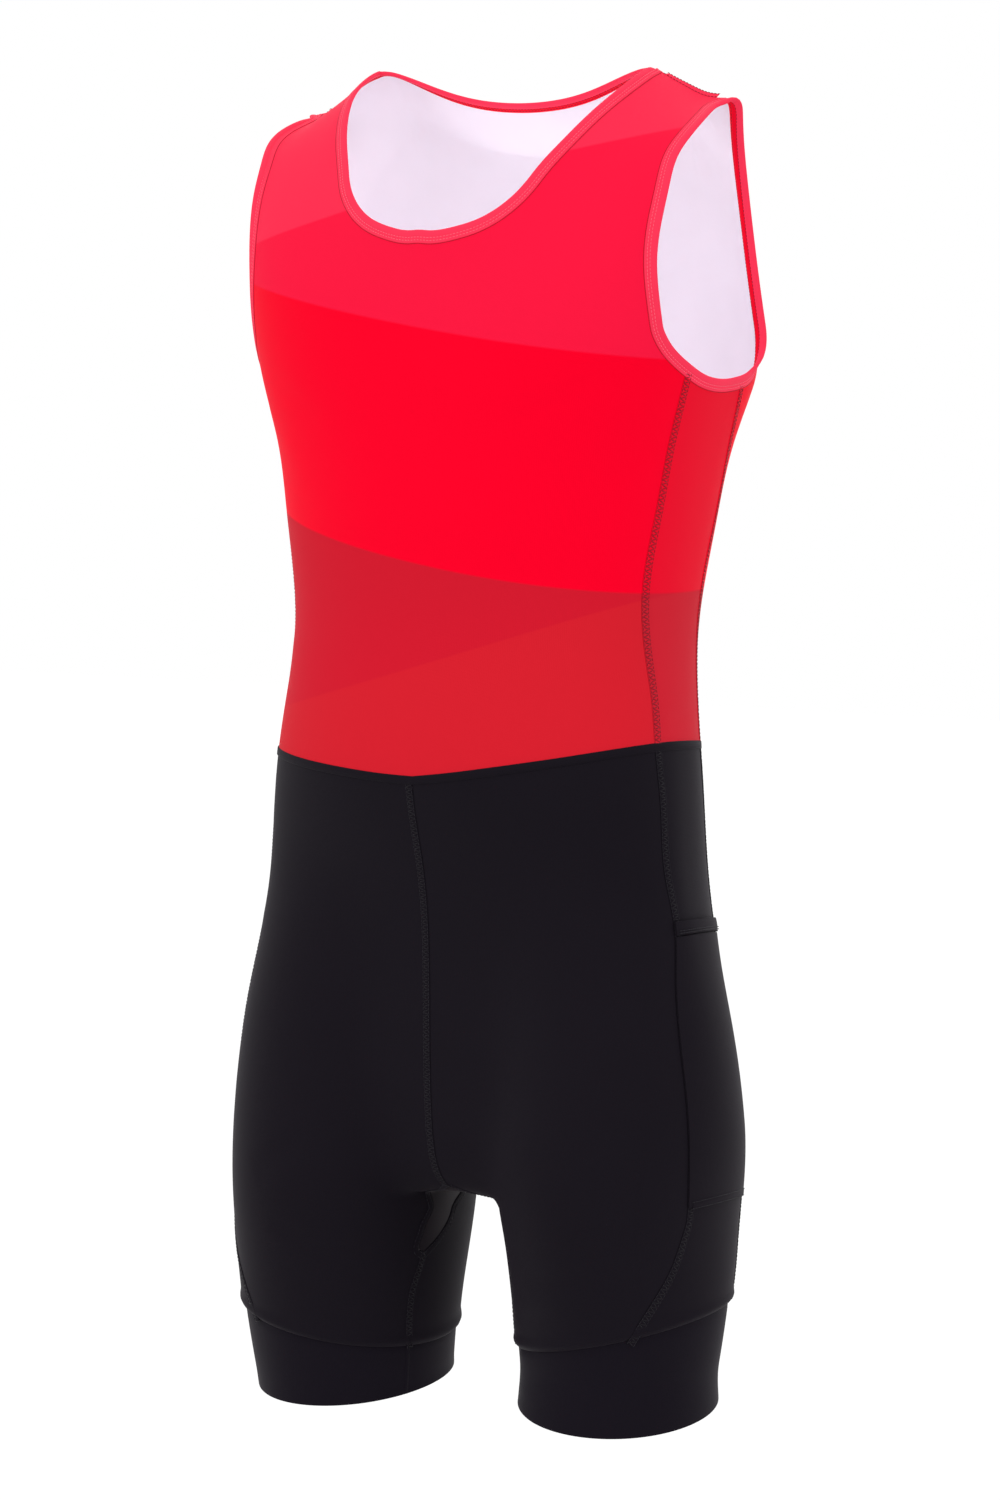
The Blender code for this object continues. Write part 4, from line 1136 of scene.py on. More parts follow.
def pull_in(points, gap, joined=0):
    """Draw a patch back from its seams; `joined` rows of the first column stay put."""
    points = points.copy()
    for axis in (0, 1):
        grid = np.moveaxis(points, axis, 0)
        for edge, inner in ((0, 1), (-1, -2)):
            along = unit(np.gradient(grid[edge], axis=0))
            step = grid[inner] - grid[edge]
            step = unit(step - (step * along).sum(-1, keepdims=True) * along)
            if joined and (axis, edge) == (1, 0):
                step[:joined] = 0
                step[joined] = unit(grid[0, joined - 1] - grid[0, joined])
            amount = np.full((len(step), 1), gap)
            if joined and axis == 1:
                tucked = np.arange(1, TUCK_ROWS + 1) / (TUCK_ROWS - 1)
                amount[-TUCK_ROWS:, 0] -= TUCK * ease(tucked)
            grid[edge] += step * amount
    return points


for name, front in (("bodice_front", True), ("bodice_back", False)):
    joined = middle_rows(front)
    grids, outs, heights, uvs = [], [], [], []
    for side in (1, -1):
        points, out = on_form(bodice_half(front, side), side)
        grids.append(pull_in(points, SEAM_GAP / 2, joined))
        outs.append(out)
        heights.append(creases(points, side))
        uvs.append(surface_uv(points) * (side, 1))
    left, right = numbered(np.stack(grids))
    right[:joined + 1, 0] = left[:joined + 1, 0]
    quads = np.concatenate([quads_of(left), quads_of(right[:, ::-1])])
    panel = cloth(name + "_jersey", np.stack(grids), np.stack(outs), quads, np.stack(uvs),
                  [red_print, white_inside], np.stack(heights), JERSEY)
    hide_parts(name)
    declare_cut(grids)


def patch_cloth(name, domain, side, finishes, extra=0.0, fork_edge=None):
    """One patch of cloth on the form, with its creases; its edge at the gusset, where the
    form is level, is given as points."""
    points, out = on_form(domain, side)
    if fork_edge is not None:
        rows = slice(CENTRE_ROWS + 1, CENTRE_ROWS + len(FANS))
        points[rows, 0], out[rows, 0] = fork_edge[1:], slope(fork_edge[1:])
    height = creases(points, side) + extra
    piece = cloth(name, pull_in(points, SEAM_GAP / 2), out, quads_of(numbered(points)),
                  surface_uv(points), finishes, height, JERSEY)
    declare_cut([points])
    return piece


for word, side in SIDES_OF_BODY:
    panel = patch_cloth(f"bodice_side_{word}_jersey", bodice_side(side), side,
                        [red_side, white_inside])
    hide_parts(f"bodice_side_{word}")

# %% [markdown]
# ## Folded bindings
# A strip of jersey is folded over the raw edge and stitched down with two needles, which
# press two fine grooves. Its section is a flat loop with a soft fold at the finished
# edge. No arm holds the back of the armhole in, so there the strip turns outward: its
# middle line leaves the seam along the cloth and bends away over a few millimetres.

# %% Section and loops
BINDING = 7.9                  # how far the strip reaches from the seam
ROUNDING = 3.0                 # softness of the loops' corners at the shoulder seams
CURL, CURL_OVER = 88.0, 3.0    # how far the back of the armhole turns, and over what way
FRONT_CURL = {1: 6.0, -1: 36.0}            # and how far its front does, on each side
CURL_FROM, CURL_WITHIN, CURL_ENDS = 0.05, 0.2, 0.07        # shares of the armhole's back
FRONT_WITHIN, FRONT_LAST, FRONT_ENDS = 0.12, 0.75, 0.45    # and of its front
LOOP_STEP = 2.0                # distance between the sections
NEEDLES = (1.1, 3.0)           # the needle rows
SECTION = Table(
    "way rise",
    (-0.9, 0.10), (-0.8, 0.42), (-0.3, 0.62), (0.6, 0.66), (0.9, 0.50), (1.1, 0.40),
    (1.3, 0.50), (1.7, 0.70), (2.4, 0.70), (2.8, 0.50), (3.0, 0.42), (3.2, 0.52),
    (3.8, 0.80), (5.0, 0.86), (6.4, 0.76), (7.3, 0.42), (7.8, -0.15), (7.9, -0.60),
    (7.8, -1.05), (7.3, -1.55), (6.4, -1.84), (3.8, -1.90), (3.2, -1.72), (3.0, -1.62),
    (2.8, -1.72), (2.4, -1.86), (1.7, -1.86), (1.3, -1.70), (1.1, -1.62), (0.9, -1.72),
    (-0.3, -1.80), (-0.8, -1.62), (-0.9, -1.34), (-0.6, -1.24), (6.2, -1.20), (7.0, -0.95),
    (7.2, -0.60), (7.0, -0.25), (6.2, 0.02), (-0.6, 0.02),
)
DEEP = slice(23, 30)           # section faces inside that show the deeper red


def soften(values, spread):
    """Circular Gaussian mean along a closed loop of points LOOP_STEP apart."""
    shifts = np.arange(-8, 9)
    weights = np.exp(-(shifts * LOOP_STEP / spread)**2 / 2)
    return sum(w * np.roll(values, s, 0) for w, s in zip(weights / weights.sum(), shifts))


def strip_loop(seam, out, turn):
    """Evenly spaced places round a seam: point, direction to the opening, normal, turn."""
    closed = [np.concatenate([array, array[:1]]) for array in (seam, out, turn[:, None])]
    length = lengths(closed[0])
    place = np.linspace(0, length[-1], int(length[-1] / LOOP_STEP), endpoint=False)
    seam, out, turn = (read_at(place, length, array) for array in closed)
    seam, out = soften(seam, ROUNDING), unit(soften(out, ROUNDING))
    tangent = np.roll(seam, -1, 0) - np.roll(seam, 1, 0)
    across = unit(np.cross(tangent, out))
    across *= np.sign((across * (seam.mean(0) - seam)).sum())
    across = soften(across, ROUNDING)
    across = unit(across - (across * out).sum(-1, keepdims=True) * out)
    return seam, across, out, soften(turn[:, 0], ROUNDING), length[-1]


FINE_STEPS = 60


def on_strip(loop, way, rise):
    """Points and normals at a way across the strip and a rise above the form. The middle
    line is a sum of small steps, each turned by the bend that it has reached."""
    seam, across, out, turn, _ = loop
    way, rise = np.broadcast_arrays(np.asarray(way, float), rise)
    fine = np.linspace(0, BINDING, FINE_STEPS)
    bend = turn[:, None] * ease(fine / CURL_OVER)
    run = [np.pad(np.cumsum(f(bend), 1)[:, :-1] * fine[1], ((0, 0), (1, 0)))
           for f in (np.cos, np.sin)]
    place = np.clip(way / fine[1], 0, FINE_STEPS - 1.001)
    first, share = place.astype(int), place % 1
    x, y = (r[:, first] * (1 - share) + r[:, first + 1] * share for r in run)
    x = (x + np.minimum(way, 0))[..., None]
    bend = (turn[:, None] * ease(way / CURL_OVER))[..., None]
    across, out = across[:, None], out[:, None]
    normal = np.cos(bend) * out - np.sin(bend) * across
    return (seam[:, None] + x * across + y[..., None] * out + rise[:, None] * normal), normal


# %% [markdown]
# The neck is one loop of four seam pieces: front and back on either side. Each armhole
# runs over the front, the side panel and the back.

# %% Neck and armhole loops
def round_body(half):
    """Points and normals of a closed loop round the body: half(1), then half(-1) back."""
    return [np.concatenate([left, right[-2:0:-1]]) for left, right in zip(half(1), half(-1))]


def neck_half(side):
    """Half of the neck seam, from the middle of the front to the middle of the back."""
    front, back = (resample(neck_edge(f), NECK_ROWS[f] + 1, side) for f in (True, False))
    parts = on_form(front, side), on_form(back[-2::-1], side)
    return [np.concatenate(arrays) for arrays in zip(*parts)]


def neck_loop():
    """The whole neck seam; its strip lies flat all round."""
    seam, out = round_body(neck_half)
    return strip_loop(seam, out, np.zeros(len(seam)))


def armhole_loop(side):
    """The whole armhole seam of one side; the strip turns outward along its back."""
    front = resample(armhole_edge("front"), ARM_ROWS + 1, side)
    below = resample(armhole_edge("side"), SIDE_COLUMNS + 1, side)
    back = resample(armhole_edge("back"), ARM_ROWS + 1, side)
    points, out = on_form(np.concatenate([front, below[1:], back[1:-1]]), side)
    share = (np.arange(len(points)) - ARM_ROWS - SIDE_COLUMNS) / ARM_ROWS
    turn = CURL * ease((share - CURL_FROM) / CURL_WITHIN) * ease((1 - share) / CURL_ENDS)
    share = np.arange(len(points)) / ARM_ROWS
    turn += FRONT_CURL[side] * ease(share / FRONT_WITHIN) * ease((FRONT_LAST - share) / FRONT_ENDS)
    return strip_loop(points, out, np.radians(turn))


def binding(name, loop, replaced):
    """Ring of sections round a loop."""
    way, rise = SECTION.column("way"), SECTION.column("rise")
    rings, _ = on_strip(loop, way, rise)
    grid = np.pad(numbered(rings), ((0, 1), (0, 1)), "wrap")
    deep = np.zeros((len(rings), len(way)), int)
    deep[:, DEEP] = 1
    uv = np.stack(np.broadcast_arrays(way, LOOP_STEP * np.arange(len(rings))[:, None]), -1)
    piece = mesh_object(name, rings.reshape(-1, 3), quads_of(grid), [binding_red, binding_deep],
                        deep.ravel(), uv.reshape(-1, 2))
    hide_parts(replaced)


LOOPS = {"neck_binding": neck_loop(), "armhole_binding_left": armhole_loop(1),
         "armhole_binding_right": armhole_loop(-1)}
for name, loop in LOOPS.items():
    binding(name + "_strip", loop, name)

# %% [markdown]
# ## The shorts
# Two fronts, two backs and the side panels that carry on from the bodice. Just above the
# cuff seam the cloth puffs out in a small lip and then dives to the seam, because the
# cuff holds the leg more tightly than the shorts do.

# %% Cloth of the shorts
LIP_HEIGHT, LIP_AWAY, LIP_WIDTH = 1.3, 4.5, 3.5
DIVE, DIVE_WIDTH = 1.5, 1.5


def cuff_lip(domain, side):
    """Puff above the cuff seam, from the distance up to it."""
    above = domain[..., 1] - cuff_height(domain[..., 0], side)
    lip = LIP_HEIGHT * np.exp(-((above - LIP_AWAY) / LIP_WIDTH)**2)
    return lip - DIVE * np.exp(-(above / DIVE_WIDTH)**2)


for word, side in SIDES_OF_BODY:
    panels = {f"shorts_front_{word}": shorts_panel(True, side),
              f"shorts_back_{word}": shorts_panel(False, side),
              f"shorts_side_{word}": shorts_side(side)}
    for name, domain in panels.items():
        edge = None if "side" in name else gusset_edge("front" in name, side)
        panel = patch_cloth(name + "_jersey", domain, side, [black_jersey, black_jersey],
                            cuff_lip(domain, side), edge)
        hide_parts(name)

# %% [markdown]
# ## The gusset
# A rounded strip under the fork keeps a seam away from the saddle of the body. It is
# drawn in fan angles about the fork's axis, and its ends run part way down the thighs.

# %% Gusset
GUSSET_REACH = 0.94            # its last row stops a little short of the inseams


def gusset_grid():
    """Rows across the strip from edge to edge, down the right thigh and up the left."""
    share = np.linspace(0, 1, GUSSET_COLUMNS + 1)
    halves = []
    for side in (1, -1):
        front = gusset_y(True, FANS, side)[:, None]
        back = gusset_y(False, FANS, side)[:, None]
        fan = np.broadcast_to(FANS[:, None], (len(FANS), len(share)))
        half = fork(fan, front + (back - front) * share, side)
        half[-1] = half[-2] + (half[-1] - half[-2]) * GUSSET_REACH
        halves.append(half)
    return np.concatenate([halves[1][:0:-1], halves[0]])


points = gusset_grid()
gusset = cloth("crotch_gusset_jersey", pull_in(points, SEAM_GAP), slope(points),
               quads_of(numbered(points)), surface_uv(points),
               [gusset_jersey, gusset_jersey], 0.0, JERSEY)
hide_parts("crotch_gusset")
declare_cut([points])

# %% [markdown]
# ## Grip cuffs
# Each leg ends in a band of doubled jersey. Its upper edge hangs from the panels' lower
# edges, and its hem is folded, so it is a little thicker and rounded there.

# %% Cuffs
CUFF_ROWS = 4 * DETAIL
CUFF_STEP, CUFF_CLOTH = 2.0, 1.6           # it sits this far inside the shorts' cloth
CUFF_TALL = 60.0                           # about how tall a cuff is
FOLD, FOLD_WIDTH = 0.35, 7.0               # it is thicker at the folded hem
CUFF_TUCK, CUFF_TUCK_WIDTH = -0.5, 3.0     # and drawn in at its seam


def cuff_domain(side):
    """(angle, level) of a cuff, from the panels' own bottom edges down to the hem."""
    share = np.linspace(0, 1, CUFF_ROWS + 1)[:, None]
    edges = [shorts_panel(True, side)[-1], shorts_side(side)[-1, 1:],
             shorts_panel(False, side)[-1, -2:0:-1]]
    around, top = np.concatenate(edges).T
    height = (top - SEAM_GAP) * (1 - share) + swinging(HEM, side, around) * share
    return np.stack([np.broadcast_to(around, height.shape), height], -1), share


for word, side in SIDES_OF_BODY:
    domain, share = cuff_domain(side)
    points, out = on_form(domain, side)
    fold = FOLD * np.exp(-((1 - share) * CUFF_TALL / FOLD_WIDTH)**2)
    tuck = CUFF_TUCK * np.exp(-(share * CUFF_TALL / CUFF_TUCK_WIDTH)**2)
    height = fold + tuck - CUFF_STEP
    quads = quads_of(np.pad(numbered(points), ((0, 0), (0, 1)), "wrap"))
    cuff = cloth(f"leg_cuff_{word}_band", points, out, quads, surface_uv(points),
                 [cuff_jersey, cuff_jersey], height, CUFF_CLOTH)
    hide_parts(f"leg_cuff_{word}")
    declare_cut([np.concatenate([points, points[:, :1]], 1)])

# %% [markdown]
# ## The thigh pocket
# The bag lies on the left side panel, caught in both side seams and stitched along its
# bottom. Its top edge is a folded band that stands a little away from the leg.

# %% Pocket bag and band
POCKET_LIFT, BAG_CLOTH, BAND_CLOTH = 0.45, 0.9, 1.5
POCKET_GAP = 0.5               # the bag and its band end this far inside their seams
BAG_PUFF, BAND_PUFF, BAND_ROLL = 0.8, 0.9, 0.3
above, band_row, bag_row = np.cumsum(POCKET_ROWS[:3])
side_points, side_out = on_form(shorts_side(1), 1)


def laid_on_panel(name, rows, thickness, puff, replaced):
    """Cloth laid on the side panel's own points; puff is its rise in the middle."""
    points, out = side_points[rows], side_out[rows]
    s = np.linspace(0, 1, points.shape[0])[:, None]
    w = np.linspace(0, 1, points.shape[1])[None]
    rise = POCKET_LIFT + thickness + puff(s, w) + creases(points, 1)
    piece = cloth(name, pull_in(points, POCKET_GAP), out, quads_of(numbered(points)),
                  surface_uv(points), [black_jersey, black_jersey], rise,
                  thickness)
    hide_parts(replaced)
    declare_cut([points])


def bag_puff(s, w):
    """Highest in the middle of the opening, and falling to nothing at the bottom."""
    return BAG_PUFF * np.sin(np.pi * w) * (1 - s)**0.7


def band_puff(s, w):
    """A low arch along the band and a small roll across it."""
    return BAND_PUFF * np.sin(np.pi * w) + BAND_ROLL * np.sin(np.pi * s)


laid_on_panel("pocket_bag_jersey", slice(band_row, bag_row + 1), BAG_CLOTH, bag_puff,
              "pocket_left")
laid_on_panel("pocket_band_jersey", slice(above, band_row + 1), BAND_CLOTH, band_puff,
              "pocket_band")

# %% [markdown]
# ## Seams
# The suit is sewn flat: the two raw edges are covered by a ladder of threads about 5 mm
# wide. Each seam is a low tape of cloth along the joint, with two rows of needle
# stitches on it and cross threads between them. The joint itself stays as a fine groove.

# %% Walking along a seam
def walk(points, out, step, closed=False):
    """Evenly spaced places along a seam, with the tangent, normal and side directions."""
    if closed:
        points, out = (np.concatenate([array, array[:1]]) for array in (points, out))
    length = lengths(points)
    place = np.linspace(0, length[-1], max(int(length[-1] / step), 3) + 1)
    if closed:
        place = place[:-1]
    at, normal = read_at(place, length, points), unit(read_at(place, length, out))
    step = np.roll(at, -1, 0) - np.roll(at, 1, 0) if closed else np.gradient(at, axis=0)
    tangent = unit(step)
    return at, tangent, normal, unit(np.cross(normal, tangent))


# ---- the tape's section: share of its width, share of its rise, depth below the cloth
TAPE_WAY = np.array([0, 0.02, 0.12, 0.5, 0.88, 0.98, 1, 0.5])
TAPE_RISE = np.array([0, 0.3, 0.95, 1, 0.95, 0.3, 0, 0])
TAPE_SUNK = np.array([0.6, 0, 0, 0, 0, 0, 0.6, 0.6])
TAPE_CAP = np.array([[0, 1, 6, 7], [1, 2, 5, 6], [2, 3, 4, 5]])
TAPE_STEP = 3.0


def tape(name, points, out, low, high, rise, finish, slot, closed=False):
    """Low strip along a seam: from `low` to `high` across it, `rise` above the cloth."""
    at, _, normal, across = walk(points, out, TAPE_STEP, closed)
    way, up = low + (high - low) * TAPE_WAY, TAPE_RISE * rise - TAPE_SUNK
    rings = at[:, None] + way[:, None] * across[:, None] + up[:, None] * normal[:, None]
    grid = numbered(rings)
    quads = quads_of(np.pad(grid, ((0, int(closed)), (0, 1)), "wrap"))
    if not closed:
        quads = np.concatenate([quads, TAPE_CAP[:, ::-1], TAPE_CAP + grid[-1, 0]])
    along = TAPE_STEP * np.arange(len(at))[:, None]
    uv = np.stack(np.broadcast_arrays(way, along), -1).reshape(-1, 2)
    return mesh_object(name, rings.reshape(-1, 3), quads, [finish], uv=uv)


# %% [markdown]
# A stitch is a short thread that dives into the cloth at both ends. All the stitches of a
# seam are one mesh, since thousands of separate objects would be slow.

# %% Rows of stitches as one joined mesh
SIDES = 5
RING_AT = np.array([-0.5, -0.36, 0.0, 0.36, 0.5])
RING_RADIUS = np.array([0.35, 0.85, 1.0, 0.85, 0.35])
RING_LIFT = np.array([-0.9, 0.05, 0.35, 0.05, -0.9])
CAPS = ((0, [0, 4, 3, 2, 1]), (-1, [0, 1, 2, 3, 4]))       # end rings, as seen from outside


def stitches(name, at, along, normal, length, radius, finish, lift=0.0):
    """A short bent capsule for each stitch: rings of five points whose radius and height
    above the cloth change along its length; all of them in one mesh."""
    across = unit(np.cross(normal, along))
    turn = np.arange(SIDES) * 2 * np.pi / SIDES
    rings = at[:, None] + (RING_AT * length)[:, None] * along[:, None]
    rings = rings + (RING_LIFT * radius + lift)[:, None] * normal[:, None]
    circle = (np.cos(turn)[:, None] * across[:, None, None]
              + np.sin(turn)[:, None] * normal[:, None, None])
    points = rings[:, :, None] + (RING_RADIUS * radius)[:, None, None] * circle
    grid = numbered(points)
    ends = [grid[:, ring][:, order] for ring, order in CAPS]
    quads = [quads_of(np.concatenate([grid, grid[..., :1]], -1))] + [end[:, :4] for end in ends]
    thirds = np.concatenate([end[:, [0, 3, 4]] for end in ends])
    return mesh_object(name, points.reshape(-1, 3), np.concatenate(quads), [finish],
                       thirds=thirds)


NEEDLE_PITCH, NEEDLE_SHARE, NEEDLE_RADIUS = 2.6, 0.82, 0.24
RUNG_PITCH, RUNG_RADIUS, RUNG_LIFT, RUNG_LEAN, RUNG_OVER = 1.7, 0.32, 0.3, 0.35, 1.04


def needle_rows(name, points, out, offsets, finish, slot, radius=NEEDLE_RADIUS, lift=0.35):
    """Straight stitches in rows at some offsets across the seam."""
    at, tangent, normal, across = walk(points, out, NEEDLE_PITCH)
    rows = np.concatenate([at + offset * across for offset in offsets])
    tangent, normal = (np.tile(array, (len(offsets), 1)) for array in (tangent, normal))
    stitches(name, rows, tangent, normal, NEEDLE_PITCH * NEEDLE_SHARE, radius, finish, lift)


def ladder(name, points, out, low, high, finish, slot):
    """Cross threads between two needle rows, leaning alternately."""
    at, tangent, normal, across = walk(points, out, RUNG_PITCH)
    lean = np.where(np.arange(len(at)) % 2, RUNG_LEAN, -RUNG_LEAN)[:, None]
    stitches(name, at + (low + high) / 2 * across, unit(across + lean * tangent), normal,
             (high - low) * RUNG_OVER, RUNG_RADIUS, finish, RUNG_LIFT)


def sew(name, points, out, edges, needles, finishes, slot, rungs=None, rise=0.35, **needle):
    """A seam: its tape between two edges, two rows of needle stitches and, where rungs
    are given, the ladder between them. `finishes`: cloth, needle thread, rung thread."""
    tape(name + "_tape", points, out, *edges, rise, finishes[0], slot)
    needle_rows(name + "_needles", points, out, needles, finishes[1], slot, **needle)
    if rungs:
        ladder(name + "_ladder", points, out, *rungs, finishes[2], slot)


# %% [markdown]
# ### Side seams
# The ladder lies on the side panel, just behind the joint: maroon on red, black on black.

# %% Side seams of bodice and shorts
COARSE = 20.0                  # step for finding out on which side a thing lies


def seam_curve(domain, side):
    """Points and normals along a seam, on the cloth's creases."""
    points, out = on_form(domain, side)
    return points + creases(points, side)[:, None] * out, out


def towards(points, out, target):
    """+1 when the seam's own `across` points to the target, -1 when away from it."""
    at, _, _, across = walk(points, out, COARSE)
    return float(np.sign((across * (target - at)).sum()))


def within(edges, inset):
    """Two edges, each drawn in by the inset."""
    return edges[0] + inset, edges[1] - inset


JOINT, LADDER = 0.35, 5.0      # a tape starts beside the joint; the ladder's own width
SIDE_EDGES, SIDE_NEEDLES = (JOINT, LADDER + 0.9), (0.75, LADDER + 0.4)
SIDE_RUNGS = (0.9, LADDER + 0.2)
BLACKS = (black_jersey, grey_black_thread, black_thread)
REDS = (red_side, maroon_thread, maroon_thread)
for word, side in SIDES_OF_BODY:
    for label, column in (("front", 0), ("back", -1)):
        for part, domain, finishes, slot in (("bodice", bodice_side(side), REDS, "red_side"),
                                             ("shorts", shorts_side(side), BLACKS, "black_knit")):
            points, out = seam_curve(domain[:, column], side)
            middle, _ = on_form(domain[:, SIDE_COLUMNS // 2], side)
            way = towards(points, out, middle.mean(0))
            edges, needles, rungs = ([way * place for place in places]
                                     for places in (SIDE_EDGES, SIDE_NEEDLES, SIDE_RUNGS))
            sew(f"{part}_seam_{label}_{word}", points, out, sorted(edges), needles,
                finishes, slot, sorted(rungs))
print("side seams done")

# %% [markdown]
# ### Waist seam
# The bodice is set into the shorts: the black cloth overlaps and stands up in a small
# roll just under the joint.

# %% Waist roll
ROLL_EDGES, ROLL_RISE = (-5.6, 0.45), 0.85


def waist_half(side):
    """Half of the waist seam, from front to back."""
    angle = np.linspace(0, 180, 361)
    return on_form(np.stack([angle, waist_seam(angle, side)], -1), side)


tape("waist_roll", *round_body(waist_half), *ROLL_EDGES, ROLL_RISE, black_jersey,
     "black_knit", True)

# %% [markdown]
# ### Centre, crotch and inner leg seams
# The same ladder, in black; the gusset's seams have needle rows only.

# %% Seams of the shorts
CENTRE_EDGE, GUSSET_EDGE, INNER_EDGE = 5.6, 5.0, 2.6
CENTRE_START = 3.0             # the centre seams start this far below the waist seam
NEEDLE_INSET, RUNG_INSET = 0.5, 0.6


def black_seam(name, points, out, edges, laddered=True):
    """A seam in black, its needle rows and ladder just inside its edges."""
    sew(name, points, out, edges, within(edges, NEEDLE_INSET), BLACKS, "black_knit",
        within(edges, RUNG_INSET) if laddered else None)


for front, word in ((True, "front"), (False, "back")):
    middle = middle_seam(front, waist_middle(front, -1) - CENTRE_START)
    middle = resample(middle, CENTRE_ROWS + 1, -1)
    points, out = seam_curve(middle, -1)
    way = towards(points, out, points.mean(0) + (-50, 0, 0))
    black_seam(f"centre_{word}_seam", points, out, sorted((way * JOINT, way * CENTRE_EDGE)))

for word, side in SIDES_OF_BODY:
    for front, label in ((True, "front"), (False, "back")):
        points = gusset_edge(front, side)
        way = towards(points, slope(points), points.mean(0) + (0, 60 if front else -60, 0))
        black_seam(f"gusset_seam_{label}_{word}", points, slope(points),
                   sorted((-way * JOINT, -way * GUSSET_EDGE)), False)
    lower = inseam(to_form(points, side)[-1], side)
    black_seam(f"inner_leg_seam_{word}", *seam_curve(lower, side), (-INNER_EDGE, INNER_EDGE))

# %% [markdown]
# ### Shoulder seams, binding stitches and the pocket's bottom
# The shoulder seams lie just behind the shoulder line and stop short of the bindings.

# %% Shoulder seams
SHOULDER_COUNT, FROM_NECK, FROM_ARM = 40, 2.5, 6.5
SHOULDER_RISE, SHOULDER_EDGE, SHOULDER_NEEDLE = 0.2, 5.6, 0.2
BELOW_RIDGE = 0.6
for word, side in SIDES_OF_BODY:
    x = np.linspace(NECK_SEAM_X + FROM_NECK, ARM_SEAM_X - FROM_ARM, SHOULDER_COUNT)
    angle = np.array([ridge_angle(value, True) for value in x])
    points, out = on_form(np.stack([angle, np.full(len(x), RIDGE_TOP - BELOW_RIDGE)], -1), side)
    way = towards(points, out, points.mean(0) + (0, 50, 0))
    edges = sorted((-way * SHOULDER_RISE, way * SHOULDER_EDGE))
    sew(f"shoulder_seam_{word}", points, out, edges, within(edges, NEEDLE_INSET),
        (red_print, maroon_thread), "red_print", rise=SHOULDER_RISE, radius=SHOULDER_NEEDLE)

# %% [markdown]
# Each binding is held by two rows of stitches, coral outside and maroon inside, and a dark
# red thread runs in the joint between its lower edge and the panels. That thread is partly
# the seam's needle thread and partly painted shadow: it draws the dark line of the groove
# at that joint.

# %% Stitches that hold the bindings
FACES = (("outside", 0.44, 1.0, coral_thread), ("inside", -1.66, -1.0, maroon_thread))
HOLD_PITCH, HOLD_LENGTH, HOLD_RADIUS = 2.4, 1.9, 0.19
EDGE_AT, EDGE_PITCH, EDGE_LENGTH, EDGE_RADIUS = (-1.25, 0.12), 1.3, 1.35, 0.2
for name, loop in LOOPS.items():
    for face, rise, turn, finish in FACES:
        rows = []
        for way in NEEDLES:
            row, normal = on_strip(loop, [way], [rise])
            rows.append(walk(row[:, 0], normal[:, 0] * turn, HOLD_PITCH, True))
        at, along, normal = (np.concatenate([row[i] for row in rows]) for i in range(3))
        stitches(f"{name}_stitches_{face}", at, along, normal, HOLD_LENGTH, HOLD_RADIUS,
                 finish)

    # Painted shadow: a dark thread along the joint under each binding's lower edge.
    edge, normal = on_strip(loop, EDGE_AT[:1], EDGE_AT[1:])
    at, along, normal, _ = walk(edge[:, 0], normal[:, 0], EDGE_PITCH, True)
    stitches(f"{name}_joint_shadow_thread", at, along, normal, EDGE_LENGTH, EDGE_RADIUS, joint_shadow_thread)

# %% [markdown]
# The pocket's bottom is caught by a taped double row, and its band by two plain rows. A
# narrow tape covers the joint between each leg and its cuff.

# %% Pocket's bottom edge, band edge and cuff seams
BOTTOM_LIFT, BOTTOM_RISE, BOTTOM_EDGES = 1.3, 0.4, (-4.8, 0.6)
BAND_LIFT, BAND_ROWS = 0.7, (0.0, 1.6)
CUFF_JOIN, CUFF_JOIN_RISE, CUFF_JOIN_SUNK = 1.6, 0.45, 0.1
row, out = side_points[bag_row, 1:-1], side_out[bag_row, 1:-1]
points = row + (BOTTOM_LIFT + creases(row, 1))[:, None] * out
way = towards(points, out, points.mean(0) + (0, 0, -60))
edges = sorted(way * place for place in BOTTOM_EDGES)
sew("pocket_bottom", points, out, edges, within(edges, NEEDLE_INSET), BLACKS, "black_knit",
    rise=BOTTOM_RISE, lift=BOTTOM_RISE)

row, out = side_points[band_row - 1, 1:-1], side_out[band_row - 1, 1:-1]
needle_rows("pocket_band_stitches", row + (POCKET_LIFT + BAND_CLOTH + BAND_LIFT) * out, out,
            BAND_ROWS, grey_black_thread, "black_knit")

for word, side in SIDES_OF_BODY:
    points, out = on_form(cuff_domain(side)[0][:, 0], side)
    tape(f"cuff_join_{word}_tape", points - (CUFF_STEP + CUFF_JOIN_SUNK) * out, out,
         -CUFF_JOIN, CUFF_JOIN, CUFF_JOIN_RISE, cuff_jersey, "black_cuff")

# %% [markdown]
# ## Floor, backdrop and light
# A plain pale floor below the suit. To the camera it is nearly white, yet it keeps a
# part of its real shading, so the soft shadow stays. The world is white to the camera
# and to reflections, and a softer light grey to the cloth.

# %% Floor
def ray_is_seen(tree):
    """1 for rays that show a background: from the camera, glossy or through glass."""
    path = node(tree, "ShaderNodeLightPath")
    seen = sum_of(tree, "MAXIMUM", path.outputs["Is Camera Ray"], path.outputs["Is Glossy Ray"])
    return sum_of(tree, "MAXIMUM", seen, path.outputs["Is Transmission Ray"])


